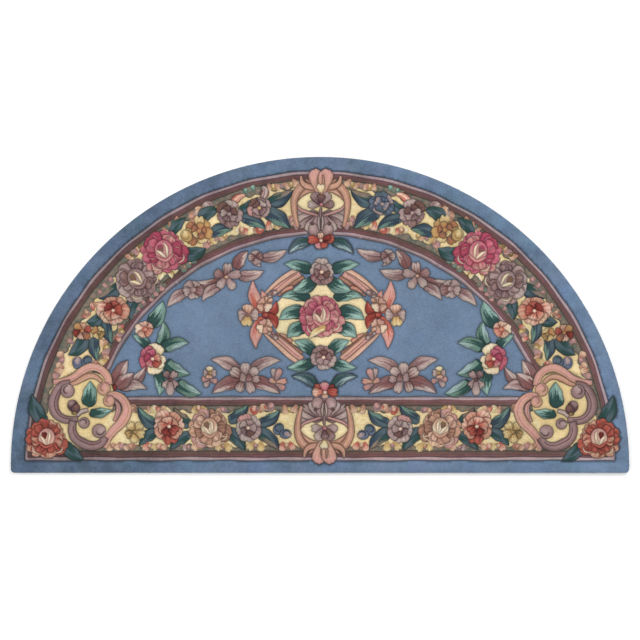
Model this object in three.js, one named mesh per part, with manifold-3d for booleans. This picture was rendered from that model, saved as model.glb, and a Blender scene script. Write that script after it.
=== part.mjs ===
// A half-moon hearth rug of carved wool pile, lying flat.
// Frame: millimetres, +Z up, the straight edge to the front (-Y) and the arc to the back (+Y),
// with the origin under the middle of the rug at floor level.
import * as THREE from "three";
import Module from "manifold-3d";

const wasm = await Module();
wasm.setup();

// Driving dimensions, in millimetres
const WIDTH = 1370; // along the straight edge
const DEPTH = 700; // from the straight edge to the top of the arc
const CORNER_RADIUS = 11; // of the two bottom corners
const GROUND_TOP = 12; // foundation and ground pile together
const EDGE_ROUND = 5; // how far in from the edge the pile rounds over
const CARVED_DEPTH = 2; // of the grooves cut beside the border stripes
const CARVED_HALF_WIDTH = 2.2;
const SWAY = 0.8; // how far the hand-laid border lines wander

// The plain band outside the border, and the stripes and floral band of the border
const PLAIN_BAND = { arc: 32, straight: 28 };
const LIGHT_LINE = 6.5;
const DARK_STRIPE = 12.5;
const FLORAL_BAND = 102;

// Heights of the carved motifs over the ground pile
const BLOSSOM_RISE = 1.5;
const CREASE_RISE = 0.5; // in the folds between two petals
const BUD_RISE = 2.2;
const LEAF_RISE = 1.3;
const SCROLL_RISE = 1.5;
const MOTIF_RIM = -0.6; // the rim starts this far under the ground pile
const MOTIF_ROOT = -5; // and the motif's root reaches this far down, well inside the pile

// Steps of the round stretches
const ARC_STEPS = 48;
const CORNER_STEPS = 3;
const STRAIGHT_STEPS = 14;
const SCROLL_STEPS = 7;

// The pattern is placed on squared paper: columns run to the right and rows run down. Its left
// half is listed, and the right half is its mirror image about the middle column.
const SQUARES_ACROSS = 619;
const SQUARE = WIDTH / SQUARES_ACROSS;
const MIDDLE_COLUMN = 321.5;
const EDGE_COLUMN_MIDDLE = 320.5; // the middle of the outline itself
const STRAIGHT_EDGE_ROW = 473;

const BLOSSOMS = [
  // the floral band, from the left corner up to the middle of the arc
  { column: 46, row: 438, radius: 20, petals: 7, bud: 10, turn: 10 },
  { column: 113, row: 310, radius: 14, petals: 5, bud: 0, turn: 15 },
  { column: 137, row: 277, radius: 20, petals: 7, bud: 9, turn: 0 },
  { column: 165, row: 250, radius: 22, petals: 7, bud: 11, turn: 20 },
  { column: 199, row: 228, radius: 14, petals: 5, bud: 0, turn: 40 },
  { column: 230, row: 214, radius: 13, petals: 5, bud: 0, turn: 5 },
  { column: 260, row: 203, radius: 12, petals: 5, bud: 0, turn: 50 },
  // the band along the straight edge
  { column: 168, row: 426, radius: 15, petals: 5, bud: 0, turn: 20 },
  { column: 209, row: 428, radius: 20, petals: 7, bud: 9, turn: 30 },
  { column: 247, row: 428, radius: 13, petals: 5, bud: 0, turn: 10 },
  // the blue field
  { column: 152, row: 358, radius: 14, petals: 5, bud: 0, turn: 36 },
  { column: 228, row: 276, radius: 12, petals: 5, bud: 0, turn: 0 },
  { column: 191, row: 291, radius: 9, petals: 5, bud: 0, turn: 20 },
  { column: 243, row: 376, radius: 13, petals: 5, bud: 0, turn: 54 },
];

const MIDDLE_BLOSSOMS = [
  { row: 315, radius: 21, petals: 8, bud: 11, turn: 0 },
  { row: 199, radius: 12, petals: 5, bud: 0, turn: 18 },
  { row: 237, radius: 11, petals: 5, bud: 0, turn: 54 },
  { row: 271, radius: 11, petals: 5, bud: 0, turn: 18 },
  { row: 359, radius: 11, petals: 5, bud: 0, turn: 54 },
  { row: 391, radius: 11, petals: 5, bud: 0, turn: 18 },
  { row: 431, radius: 12, petals: 5, bud: 0, turn: 54 },
];

const LEAVES = [
  // beside the corner rose and inside the corner scrolls
  { from: [42, 424], to: [37, 402], width: 13 },
  { from: [63, 443], to: [84, 457], width: 12 },
  { from: [88, 406], to: [91, 382], width: 14 },
  { from: [89, 412], to: [111, 411], width: 9 },
  // up the arc
  { from: [86, 337], to: [69, 356], width: 14 },
  { from: [94, 338], to: [98, 362], width: 10 },
  { from: [105, 314], to: [87, 323], width: 11 },
  { from: [108, 321], to: [113, 347], width: 9 },
  { from: [120, 286], to: [98, 297], width: 11 },
  { from: [171, 233], to: [189, 217], width: 9 },
  { from: [201, 220], to: [220, 208], width: 12 },
  { from: [184, 252], to: [206, 247], width: 12 },
  { from: [211, 233], to: [231, 233], width: 10 },
  { from: [240, 210], to: [258, 198], width: 10 },
  { from: [243, 219], to: [266, 229], width: 10 },
  { from: [269, 201], to: [292, 190], width: 13 },
  { from: [270, 209], to: [290, 226], width: 14 },
  // along the straight edge
  { from: [159, 428], to: [136, 407], width: 10 },
  { from: [158, 431], to: [140, 446], width: 9 },
  { from: [192, 421], to: [173, 410], width: 11 },
  { from: [192, 434], to: [171, 447], width: 10 },
  { from: [227, 418], to: [247, 407], width: 11 },
  { from: [225, 433], to: [244, 449], width: 12 },
  { from: [259, 421], to: [279, 412], width: 11 },
  { from: [257, 434], to: [278, 448], width: 12 },
  // round the field blossom
  { from: [152, 325], to: [162, 303], width: 16 },
  { from: [156, 345], to: [162, 322], width: 11 },
  { from: [164, 349], to: [187, 344], width: 12 },
  { from: [166, 361], to: [189, 373], width: 12 },
  { from: [157, 372], to: [159, 393], width: 11 },
  { from: [149, 347], to: [132, 336], width: 9 },
  { from: [179, 382], to: [200, 392], width: 12 },
  // the sprays of the field
  { from: [234, 269], to: [249, 253], width: 11 },
  { from: [238, 275], to: [262, 273], width: 11 },
  { from: [222, 283], to: [204, 300], width: 10 },
  { from: [216, 280], to: [196, 280], width: 10 },
  { from: [187, 296], to: [168, 307], width: 9 },
  { from: [234, 371], to: [209, 361], width: 10 },
  { from: [252, 370], to: [280, 359], width: 10 },
  { from: [236, 382], to: [212, 394], width: 12 },
  { from: [252, 382], to: [279, 394], width: 12 },
  { from: [117, 388], to: [131, 362], width: 20 },
  // under and over the middle cartouches, and round the medallion
  { from: [309, 240], to: [288, 251], width: 10 },
  { from: [315, 387], to: [293, 376], width: 11 },
  { from: [309, 271], to: [285, 265], width: 10 },
  { from: [309, 357], to: [287, 367], width: 11 },
  { from: [304, 301], to: [282, 297], width: 10 },
  { from: [302, 313], to: [280, 318], width: 12 },
  { from: [305, 327], to: [288, 337], width: 12 },
];

// Each scroll winds about its centre from one radius to another, from a start angle through a
// sweep, both in degrees anticlockwise from the right.
const SCROLLS = [
  // the corner cartouche: two mauve scrolls on its outside, two pink ones on its inside
  { centre: [68, 402], radii: [7, 18], start: -60, sweep: 300, width: 8 },
  { centre: [90, 430], radii: [17, 16], start: 165, sweep: 200, width: 8 },
  { centre: [93, 391], radii: [22, 15], start: 150, sweep: -165, width: 9 },
  { centre: [110, 412], radii: [14, 20], start: 100, sweep: -160, width: 8 },
  // the ribbons of the medallion
  { centre: [319, 315], radii: [51, 51], start: 160, sweep: -40, width: 12 },
  { centre: [319, 315], radii: [51, 51], start: 200, sweep: 40, width: 12 },
  // the sides of the two middle cartouches
  { centre: [319, 205], radii: [25, 25], start: 115, sweep: 120, width: 8 },
  { centre: [322, 430], radii: [24, 24], start: 115, sweep: 130, width: 8 },
];

// A point of the squared paper, in the rug's own frame
function place([column, row]) {
  return new THREE.Vector2(
    (column - EDGE_COLUMN_MIDDLE) * SQUARE,
    (STRAIGHT_EDGE_ROW - row) * SQUARE - DEPTH / 2,
  );
}

function mirrored([column, row]) {
  return [2 * MIDDLE_COLUMN - column, row];
}

// A closed body through loops of equal length, anticlockwise seen from above. Both ends close
// on a fan, the last one about a summit where one is given.
function loft(loops, summit) {
  const size = loops[0].length;
  const corners = loops.flat();
  const middle = (loop) =>
    loop.reduce((sum, p) => sum.add(p), new THREE.Vector3()).divideScalar(size);
  const first = corners.push(middle(loops[0])) - 1;
  const last = corners.push(summit ?? middle(loops.at(-1))) - 1;
  const faces = [];
  for (let i = 0; i < size; i++) {
    const j = (i + 1) % size;
    faces.push(first, j, i);
    for (let level = 0; level + 1 < loops.length; level++) {
      const low = level * size;
      const high = low + size;
      faces.push(low + i, low + j, high + j, low + i, high + j, high + i);
    }
    const top = (loops.length - 1) * size;
    faces.push(top + i, top + j, last);
  }
  const vertices = corners.flatMap((p) => [p.x, p.y, p.z]);
  return new wasm.Manifold(
    new wasm.Mesh({
      numProp: 3,
      vertProperties: new Float32Array(vertices),
      triVerts: new Uint32Array(faces),
    }),
  );
}

// The half-moon outline drawn in from the rug's own edge, at one height
function outline(inset, cornerRadius, height) {
  const radius = WIDTH / 2 - inset.arc;
  const arcCentre = DEPTH / 2 - WIDTH / 2;
  const edge = inset.straight - DEPTH / 2;
  const cornerY = edge + cornerRadius;
  const cornerX = Math.sqrt((radius - cornerRadius) ** 2 - (cornerY - arcCentre) ** 2);
  const lean = Math.atan2(cornerY - arcCentre, cornerX);
  const points = [];
  const add = (x, y) => points.push(new THREE.Vector3(x, y, height));
  for (let i = 0; i <= ARC_STEPS; i++) {
    const turn = lean + ((Math.PI - 2 * lean) * i) / ARC_STEPS;
    const wander = inset.arc > 0 ? SWAY * Math.sin(9 * turn + inset.arc) : 0;
    const r = radius + wander * Math.sin(turn);
    add(r * Math.cos(turn), arcCentre + r * Math.sin(turn));
  }
  for (let i = 1; i <= CORNER_STEPS; i++) {
    const turn = Math.PI - lean + ((Math.PI / 2 + lean) * i) / CORNER_STEPS;
    add(-cornerX + cornerRadius * Math.cos(turn), cornerY + cornerRadius * Math.sin(turn));
  }
  for (let i = 1; i < STRAIGHT_STEPS; i++) {
    add(-cornerX + (2 * cornerX * i) / STRAIGHT_STEPS, edge);
  }
  for (let i = 0; i < CORNER_STEPS; i++) {
    const turn = -Math.PI / 2 + ((Math.PI / 2 + lean) * i) / CORNER_STEPS;
    add(cornerX + cornerRadius * Math.cos(turn), cornerY + cornerRadius * Math.sin(turn));
  }
  return points;
}

// The foundation and ground pile, with a groove carved beside each line of the border
function groundPile() {
  const even = (inset) => ({ arc: inset, straight: inset });
  const loops = [
    outline(even(0.8), CORNER_RADIUS, 0),
    outline(even(0), CORNER_RADIUS, 2),
    outline(even(0), CORNER_RADIUS, GROUND_TOP - 3),
    outline(even(EDGE_ROUND * 0.3), CORNER_RADIUS, GROUND_TOP - 0.8),
    outline(even(EDGE_ROUND), CORNER_RADIUS, GROUND_TOP),
  ];
  const border = [
    LIGHT_LINE,
    DARK_STRIPE,
    FLORAL_BAND,
    DARK_STRIPE,
    LIGHT_LINE,
  ];
  const carve = (inset) => {
    for (const side of [-1, 0, 1]) {
      const shift = side * CARVED_HALF_WIDTH;
      const line = { arc: inset.arc + shift, straight: inset.straight + shift };
      loops.push(outline(line, 1, side ? GROUND_TOP : GROUND_TOP - CARVED_DEPTH));
    }
  };
  const line = { ...PLAIN_BAND };
  carve(line);
  for (const width of border) {
    line.arc += width;
    line.straight += width;
    carve(line);
  }
  return loft(loops);
}

// A many-petalled head: broad petals, lower in the folds between them, highest at the bud
function blossom(at, { radius, petals, bud, turn }) {
  const centre = place(at);
  const petalTurn = (2 * Math.PI) / petals;
  const spot = (angle, r, height) => {
    const direction = angle + THREE.MathUtils.degToRad(turn);
    const x = centre.x + r * Math.cos(direction);
    const y = centre.y + r * Math.sin(direction);
    return new THREE.Vector3(x, y, GROUND_TOP + height);
  };
  const ring = (reach, petalHeight, foldReach, foldHeight) => {
    const points = [];
    for (let i = 0; i < petals; i++) {
      const angle = i * petalTurn;
      for (const side of [-1, 1]) {
        points.push(spot(angle + side * 0.22 * petalTurn, reach * radius * SQUARE, petalHeight));
      }
      points.push(spot(angle + petalTurn / 2, foldReach * radius * SQUARE, foldHeight));
    }
    return points;
  };
  const head = loft(
    [
      ring(0.9, MOTIF_ROOT, 0.74, MOTIF_ROOT),
      ring(1, MOTIF_RIM, 0.82, MOTIF_RIM),
      ring(0.7, BLOSSOM_RISE, 0.6, CREASE_RISE),
    ],
    spot(0, 0, CREASE_RISE),
  );
  if (!bud) return head;
  const share = bud / radius;
  const dome = loft(
    [ring(share, MOTIF_ROOT, share, MOTIF_ROOT), ring(share, CREASE_RISE / 2, share, 0)],
    spot(0, 0, BUD_RISE),
  );
  return head.add(dome);
}

// A pointed leaf, widest a third of the way up, with a ridge along its vein
function leaf(from, to, width) {
  const base = place(from);
  const tip = place(to);
  const along = tip.clone().sub(base);
  const across = new THREE.Vector2(-along.y, along.x).normalize();
  const half = (width * SQUARE) / 2;
  const stations = [
    { way: 0.22, share: 0.9 },
    { way: 0.62, share: 0.85 },
  ];
  const spot = (way, side, height) => {
    const p = base.clone().addScaledVector(along, way).addScaledVector(across, side * half);
    return new THREE.Vector3(p.x, p.y, GROUND_TOP + height);
  };
  const rim = (height, draw) => [
    spot(1 - draw, 0, height),
    ...stations.toReversed().map(({ way, share }) => spot(way, share * (1 - draw), height)),
    spot(draw, 0, height),
    ...stations.map(({ way, share }) => spot(way, -share * (1 - draw), height)),
  ];
  return loft([rim(MOTIF_ROOT, 0.2), rim(MOTIF_RIM, 0)], spot(0.45, 0, LEAF_RISE));
}

// A band that winds about a centre, ridged along its middle and narrower at its ends
function scroll({ centre, radii, start, sweep, width }, flip) {
  const middle = place(flip ? mirrored(centre) : centre);
  const handed = flip ? -1 : 1;
  const sections = [];
  for (let i = 0; i <= SCROLL_STEPS; i++) {
    const way = i / SCROLL_STEPS;
    const turn = THREE.MathUtils.degToRad(start + sweep * way);
    const direction = new THREE.Vector2(handed * Math.cos(turn), Math.sin(turn));
    const radius = THREE.MathUtils.lerp(radii[0], radii[1], way) * SQUARE;
    const taper = 0.55 + 0.45 * Math.sin(Math.PI * way);
    const half = (width * SQUARE * taper) / 2;
    const spot = (out, height) => {
      const p = middle.clone().addScaledVector(direction, radius + out);
      return new THREE.Vector3(p.x, p.y, GROUND_TOP + height);
    };
    const section = [
      spot(half, MOTIF_RIM),
      spot(0, SCROLL_RISE),
      spot(-half, MOTIF_RIM),
      spot(0, MOTIF_ROOT),
    ];
    sections.push(sweep * handed < 0 ? section : section.reverse());
  }
  return loft(sections);
}

function wholeRug() {
  let rug = groundPile();
  const join = (motif) => {
    rug = rug.add(motif);
  };
  for (const row of BLOSSOMS) {
    const at = [row.column, row.row];
    join(blossom(at, row));
    join(blossom(mirrored(at), { ...row, turn: 180 - row.turn }));
  }
  for (const row of MIDDLE_BLOSSOMS) {
    join(blossom([MIDDLE_COLUMN, row.row], row));
  }
  for (const { from, to, width } of LEAVES) {
    join(leaf(from, to, width));
    join(leaf(mirrored(from), mirrored(to), width));
  }
  for (const row of SCROLLS) {
    join(scroll(row, false));
    join(scroll(row, true));
  }
  const mesh = rug.getMesh();
  const geometry = new THREE.BufferGeometry();
  const corners = new Float32Array((mesh.vertProperties.length / mesh.numProp) * 3);
  for (let i = 0; i < corners.length / 3; i++) {
    corners.set(mesh.vertProperties.subarray(i * mesh.numProp, i * mesh.numProp + 3), i * 3);
  }
  geometry.setAttribute("position", new THREE.BufferAttribute(corners, 3));
  geometry.setIndex(new THREE.BufferAttribute(mesh.triVerts, 1));
  geometry.computeVertexNormals();
  return geometry;
}

const woolPile = new THREE.MeshStandardMaterial({
  color: new THREE.Color("#637792"),
  roughness: 0.95,
  metalness: 0,
});

const rug = new THREE.Mesh(wholeRug(), woolPile);
rug.name = "rug";

const group = new THREE.Group();
group.add(rug);

export default group;
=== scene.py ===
import itertools
import math
from collections import namedtuple

import bpy
import numpy as np
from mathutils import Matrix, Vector
from mathutils.geometry import delaunay_2d_cdt
from mathutils.kdtree import KDTree


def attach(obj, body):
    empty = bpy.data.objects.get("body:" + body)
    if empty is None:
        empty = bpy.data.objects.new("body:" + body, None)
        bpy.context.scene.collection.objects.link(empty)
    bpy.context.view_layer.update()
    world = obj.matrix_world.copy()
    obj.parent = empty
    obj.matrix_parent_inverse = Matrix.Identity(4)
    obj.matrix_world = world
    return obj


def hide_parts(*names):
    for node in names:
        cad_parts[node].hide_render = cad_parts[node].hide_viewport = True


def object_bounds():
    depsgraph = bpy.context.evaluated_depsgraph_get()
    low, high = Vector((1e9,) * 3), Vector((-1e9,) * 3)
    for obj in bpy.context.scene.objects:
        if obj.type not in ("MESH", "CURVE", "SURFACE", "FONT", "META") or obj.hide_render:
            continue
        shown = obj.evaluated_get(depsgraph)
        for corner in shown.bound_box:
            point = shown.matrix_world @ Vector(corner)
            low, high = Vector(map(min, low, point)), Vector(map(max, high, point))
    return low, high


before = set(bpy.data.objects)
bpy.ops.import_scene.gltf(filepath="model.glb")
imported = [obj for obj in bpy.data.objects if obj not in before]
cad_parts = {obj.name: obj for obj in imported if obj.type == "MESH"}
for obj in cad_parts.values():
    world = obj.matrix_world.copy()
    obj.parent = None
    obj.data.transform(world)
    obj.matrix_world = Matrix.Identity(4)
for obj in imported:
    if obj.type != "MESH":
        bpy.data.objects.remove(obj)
cad_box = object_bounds()

# The foundation: a half-moon of plain woven cotton cloth that carries the whole pile.
# It is cut to an outline drawn on squared paper, and its warp and weft show on the underside only.

# The paper's columns run to the right and its rows run down. One square is about 2.2 mm of the rug.
# MIDDLE is the column of the rug's middle, and STRAIGHT_ROW and ARC_ROW are the rows of its straight
# edge and of the middle of its arc. Outlines have a place about every OUTLINE_STEP squares.
RUG_WIDTH, RUG_DEPTH = (cad_box[1][i] - cad_box[0][i] for i in (0, 1))
SQUARES_ACROSS = 619
MIDDLE = 320.0
STRAIGHT_ROW = 473.0
SQUARE = RUG_WIDTH / SQUARES_ACROSS
ARC_RADIUS = SQUARES_ACROSS / 2
ARC_ROW = STRAIGHT_ROW - RUG_DEPTH / SQUARE + ARC_RADIUS
CORNER_ROUND = 4.5
SHARP_CORNER = 0.6
OUTLINE_STEP = 1.3
CLOTH_INSET = 0.5

# The cloth's top in metres, and its threads.
CLOTH_TOP = 0.0032
THREADS_PER_METRE = 410
THREAD_RELIEF = 0.0005
DARK_COTTON = (0.42, 0.36, 0.27, 1)
PALE_COTTON = (0.66, 0.6, 0.49, 1)


def on_rug(squares):
    """Places on the squared paper, in metres on the rug."""
    squares = np.asarray(squares, float)
    right = (squares[:, 0] - MIDDLE) * SQUARE
    up = cad_box[0][1] + (STRAIGHT_ROW - squares[:, 1]) * SQUARE
    return np.stack([right, up], axis=1)


def half_moon(arc_inset, straight_inset, corner=SHARP_CORNER):
    """The outline drawn in from the rug's edge, as a ring of places with its two corners rounded."""
    radius = ARC_RADIUS - arc_inset
    straight = STRAIGHT_ROW - straight_inset
    corner_row = straight - corner
    reach = math.sqrt((radius - corner) ** 2 - (corner_row - ARC_ROW) ** 2)
    lean = math.atan2(ARC_ROW - corner_row, reach)
    sweep = np.linspace(lean, math.pi - lean, round(math.pi * radius / OUTLINE_STEP))
    bend = np.linspace(0, math.pi / 2 + lean, 3 if corner == SHARP_CORNER else 7)
    run = np.linspace(-reach, reach, round(2 * reach / OUTLINE_STEP))[1:-1]
    left = math.pi - lean + bend[1:]
    right = -math.pi / 2 + bend[:-1]
    columns = [radius * np.cos(sweep), -reach + corner * np.cos(left), run, reach + corner * np.cos(right)]
    rows = [
        ARC_ROW - radius * np.sin(sweep),
        corner_row - corner * np.sin(left),
        np.full(len(run), straight),
        corner_row - corner * np.sin(right),
    ]
    return np.stack([MIDDLE + np.concatenate(columns), np.concatenate(rows)], axis=1)


def placed(name, data):
    """A new object in the scene."""
    thing = bpy.data.objects.new(name, data)
    bpy.context.collection.objects.link(thing)
    return thing


class Nodes:
    """A tree of nodes. Each node's output comes back as a Flow, ready for sums."""

    def __init__(self, tree):
        self.tree = tree

    def node(self, kind, settings, output, sockets):
        """A new node with its settings and sockets filled in; a socket takes a value or a Flow."""
        made = self.tree.nodes.new(kind)
        for name, value in settings.items():
            setattr(made, name, value)
        for name, value in sockets.items():
            self.put(made.inputs[name], value)
        return Flow(self, made.outputs[output])

    def put(self, socket, value):
        if isinstance(value, Flow):
            self.tree.links.new(value.socket, socket)
        else:
            socket.default_value = value


class Finish(Nodes):
    """A material, whose nodes end in one dull shader."""

    def __init__(self, name, roughness, sheen=0.0):
        self.material = bpy.data.materials.new(name)
        self.material.use_nodes = True
        super().__init__(self.material.node_tree)
        self.shader = self.tree.nodes["Principled BSDF"]
        self.shader.inputs["Roughness"].default_value = roughness
        self.shader.inputs["Sheen Weight"].default_value = sheen
        self.shader.inputs["Sheen Roughness"].default_value = 0.6
        self.shader.inputs["Specular IOR Level"].default_value = 0.12

    def here(self):
        """The place on the piece, in metres."""
        return self.node("ShaderNodeTexCoord", {}, "Object", {})

    def blend(self, share, one, two):
        return self.node("ShaderNodeMix", {"data_type": "RGBA"}, 2, {0: share, 6: one, 7: two})

    def noise(self, where, scale, detail):
        return self.node("ShaderNodeTexNoise", {}, 0, {"Vector": where, "Scale": scale, "Detail": detail})

    def surface(self, colour, height, depth):
        """Gives the shader its colour and a relief, whose depth is in metres."""
        relief = {"Strength": 0.5, "Distance": depth, "Height": height}
        self.put(self.shader.inputs["Base Color"], colour)
        self.put(self.shader.inputs["Normal"], self.node("ShaderNodeBump", {}, 0, relief))


class Flow:
    """One output of a node. Python's own signs join it to others through Math nodes."""

    def __init__(self, nodes, socket):
        self.nodes = nodes
        self.socket = socket

    def math(self, operation, *others):
        sides = dict(enumerate((self, *others)))
        return self.nodes.node("ShaderNodeMath", {"operation": operation}, 0, sides)

    def __add__(self, other):
        return self.math("ADD", other)

    def __sub__(self, other):
        return self.math("SUBTRACT", other)

    def __rsub__(self, other):
        return self * -1 + other

    def __mul__(self, other):
        return self.math("MULTIPLY", other)

    __radd__ = __add__
    __rmul__ = __mul__

    def parts(self):
        """The three numbers of a place or colour."""
        split = self.nodes.node("ShaderNodeSeparateXYZ", {}, 0, {"Vector": self})
        outputs = split.socket.node.outputs
        return [Flow(self.nodes, outputs[name]) for name in ("X", "Y", "Z")]

    def clamped(self):
        return self.math("MINIMUM", 1.0).math("MAXIMUM", 0.0)

    def rising(self, low, high):
        """From 0 at the low value to 1 at the high one, easing in and out."""
        settings = {"interpolation_type": "SMOOTHSTEP"}
        sockets = {"Value": self, "From Min": low, "From Max": high}
        return self.nodes.node("ShaderNodeMapRange", settings, 0, sockets)


def cotton_cloth():
    """Unbleached cotton, warp over weft, with thicker and thinner threads."""
    cloth = Finish("cotton_foundation", 0.95)
    here = cloth.here()
    right, up, _ = here.parts()
    turns = 2 * math.pi * THREADS_PER_METRE
    weave = (right * turns).math("SINE") * (up * turns).math("SINE")
    slub = cloth.noise(here, 70.0, 3.0)
    tone = (weave * 0.14 + slub * 0.5 + 0.25).clamped()
    cloth.surface(cloth.blend(tone, DARK_COTTON, PALE_COTTON), weave * 0.5 + slub, THREAD_RELIEF)
    return cloth.material


def foundation():
    """The cloth as a flat closed body, its underside on the floor."""
    ring = on_rug(half_moon(CLOTH_INSET, CLOTH_INSET, CORNER_ROUND))
    count = len(ring)
    lower = [(x, y, 0.0) for x, y in ring]
    upper = [(x, y, CLOTH_TOP) for x, y in ring]
    walls = [(i, (i + 1) % count, count + (i + 1) % count, count + i) for i in range(count)]
    ends = [tuple(reversed(range(count))), tuple(range(count, 2 * count))]
    mesh = bpy.data.meshes.new("foundation")
    mesh.from_pydata(lower + upper, [], walls + ends)
    mesh.materials.append(cotton_cloth())
    cloth = placed("foundation", mesh)
    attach(cloth, "root")
    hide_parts("rug")
    return cloth


cloth = foundation()


# The straight border with its corner and middle cartouches: wool pile, hand-tufted in dyed yarn
# patch by patch, then sheared level and carved with a groove along every line of the drawing.
# Its motifs lie over those of the other pieces, so it is drawn and tufted first.

# A patch is one area of a drawing. Its spine and half width say which way its shading runs, and its
# dyes are those at its root and its tip, or none for a place left open to the pieces drawn later.
# Its rise is in millimetres and its cut is a share of the full depth of groove. Patches of one
# family have no groove between them.
Patch = namedtuple("Patch", "outline spine half dyes style rise cut family")
families = itertools.count()

DYES = {
    "band blue": (96, 116, 141),
    "field blue": (104, 124, 149),
    "rose line": (170, 148, 152),
    "stripe red": (112, 76, 78),
    "stripe brown": (103, 78, 72),
    "cream": (221, 196, 144),
    "pale cream": (229, 210, 165),
    "sage": (132, 115, 101),
    "dark sage": (98, 101, 91),
    "pine": (39, 69, 65),
    "ink": (48, 63, 76),
    "slate": (77, 95, 102),
    "moss": (101, 128, 116),
    "fern": (118, 148, 139),
    "mint": (145, 177, 165),
    "crimson": (172, 72, 92),
    "magenta": (156, 62, 89),
    "rose": (194, 108, 123),
    "blush": (201, 149, 141),
    "shell": (222, 185, 164),
    "coral": (181, 95, 80),
    "brick": (144, 59, 50),
    "oxblood": (103, 35, 31),
    "peach": (199, 155, 132),
    "pale peach": (219, 185, 155),
    "clay": (171, 125, 105),
    "bark": (121, 87, 76),
    "mauve": (150, 122, 121),
    "lilac": (174, 149, 145),
    "dove": (188, 169, 161),
    "plum": (97, 67, 71),
    "gold": (182, 147, 96),
    "straw": (217, 196, 146),
    "ivory": (232, 216, 187),
    "orange": (178, 120, 82),
    "olive": (119, 96, 65),
    "mist": (148, 170, 168),
    "heather": (128, 98, 97),
    "russet": (122, 80, 78),
    "wine": (132, 58, 74),
    "steel": (97, 108, 129),
}

# Shades of the yarn, each from the dye at a patch's root to the dye at its tip.
SHADES = {
    "sand": ("clay", "pale peach"),
    "peach": ("clay", "peach"),
    "rosy": ("peach", "blush"),
    "soft peach": ("peach", "shell"),
    "clay": ("bark", "clay"),
    "pink": ("mauve", "blush"),
    "mauve": ("mauve", "lilac"),
    "dark mauve": ("heather", "mauve"),
    "pale mauve": ("mauve", "dove"),
    "dusk": ("plum", "mauve"),
    "pale dusk": ("plum", "lilac"),
    "umber": ("plum", "bark"),
    "brown mauve": ("bark", "mauve"),
    "gold": ("gold", "straw"),
    "old gold": ("olive", "gold"),
    "amber": ("orange", "gold"),
    "rust": ("bark", "orange"),
    "cream": ("straw", "ivory"),
    "shell": ("clay", "shell"),
    "pale shell": ("shell", "ivory"),
    "coral": ("coral", "peach"),
    "pale coral": ("coral", "shell"),
    "red": ("brick", "coral"),
    "deep red": ("oxblood", "brick"),
    "dark red": ("oxblood", "coral"),
    "bright pink": ("rose", "blush"),
    "crimson": ("crimson", "rose"),
    "pale crimson": ("crimson", "blush"),
    "magenta": ("magenta", "crimson"),
    "wine": ("wine", "mauve"),
    "russet": ("russet", "mauve"),
    "pale russet": ("russet", "dove"),
    "bright magenta": ("magenta", "rose"),
    "grey green": ("sage", "moss"),
    "pale green": ("moss", "mint"),
    "blue": ("steel", "lilac"),
    "slate blue": ("steel", "slate"),
    "dark blue": ("ink", "steel"),
    "oxblood": ("oxblood", "oxblood"),
    "brown olive": ("bark", "olive"),
    "brown magenta": ("bark", "magenta"),
}

# The dyes of a leaf, from root to tip: its darker half, its paler half and its midrib.
LEAVES = {
    "field leaf": (("pine", "fern"), ("pine", "mint"), "pine"),
    "bright leaf": (("pine", "moss"), ("moss", "mist"), "pine"),
    "slate leaf": (("pine", "slate"), ("slate", "mist"), "ink"),
    "green leaf": (("slate", "pine"), ("pine", "slate"), "ink"),
    "blue leaf": (("slate", "ink"), ("ink", "moss"), "ink"),
    "dusky leaf": (("slate", "ink"), ("pine", "sage"), "ink"),
    "mallow": (("heather", "lilac"), ("mauve", "dove"), "plum"),
    "russet mallow": (("russet", "heather"), ("russet", "dove"), "plum"),
    "bow": (("coral", "blush"), ("peach", "blush"), "coral"),
    "red loop": (("brick", "brick"), ("brick", "coral"), "oxblood"),
    "flame": (("gold", "straw"), ("straw", "ivory"), "gold"),
}

# The shades of a rose: its outer petals, its inner petals, its cup, its heart and its lips.
ROSES = {
    "red rose": (
        ("coral", "red", "coral", "coral", "dark red"),
        ("dark red", "coral", "red"),
        ("blush", "shell"), "oxblood", "pale shell",
    ),
    "peach rose": (
        ("peach", "clay", "pink", "sand"),
        ("peach", "clay", "shell"),
        ("peach", "ivory"), "brown olive", "pale shell",
    ),
    "peony": (
        ("pale mauve", "dusk", "mauve", "brown mauve"),
        ("dusk", "mauve", "brown mauve"),
        ("mauve", "lilac"), "brown olive", "cream",
    ),
    "crimson rose": (
        ("crimson", "magenta", "pale crimson", "crimson", "bright magenta"),
        ("pale crimson", "magenta", "crimson"),
        ("rose", "blush"), "brown magenta", "pale shell",
    ),
    "pink rose": (
        ("crimson", "pale crimson", "bright magenta", "pale crimson", "crimson"),
        ("pale crimson", "bright pink", "bright magenta"),
        ("rose", "shell"), "brown magenta", "pale shell",
    ),
}


def turned(length, degrees):
    """A step on the paper in a direction, anticlockwise from the right."""
    turn = math.radians(degrees)
    return np.array([length * math.cos(turn), -length * math.sin(turn)])


def curve(points, steps=5, closed=False):
    """A smooth line through the points."""
    knots = np.array(points, float)
    if closed:
        knots = np.concatenate([knots[-1:], knots, knots[:2]])
    else:
        knots = np.concatenate([knots[:1], knots, knots[-1:]])
    share = (np.arange(steps) / steps)[:, None]
    line = []
    for a, b, c, d in zip(knots, knots[1:], knots[2:], knots[3:]):
        bend = (2 * a - 5 * b + 4 * c - d) * share**2 + (3 * b - a - 3 * c + d) * share**3
        line.append((2 * b + (c - a) * share + bend) / 2)
    if not closed:
        line.append(knots[-1:])
    return np.concatenate(line)


def shares(line):
    """How far along the line each of its points lies, from 0 to 1."""
    run = np.concatenate([[0], np.cumsum(np.linalg.norm(np.diff(line, axis=0), axis=1))])
    return run / run[-1]


def across(line):
    """A unit step to the side of the line at each of its points."""
    step = np.gradient(line, axis=0)
    step /= np.linalg.norm(step, axis=1)[:, None]
    return np.stack([-step[:, 1], step[:, 0]], axis=1)


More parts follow.
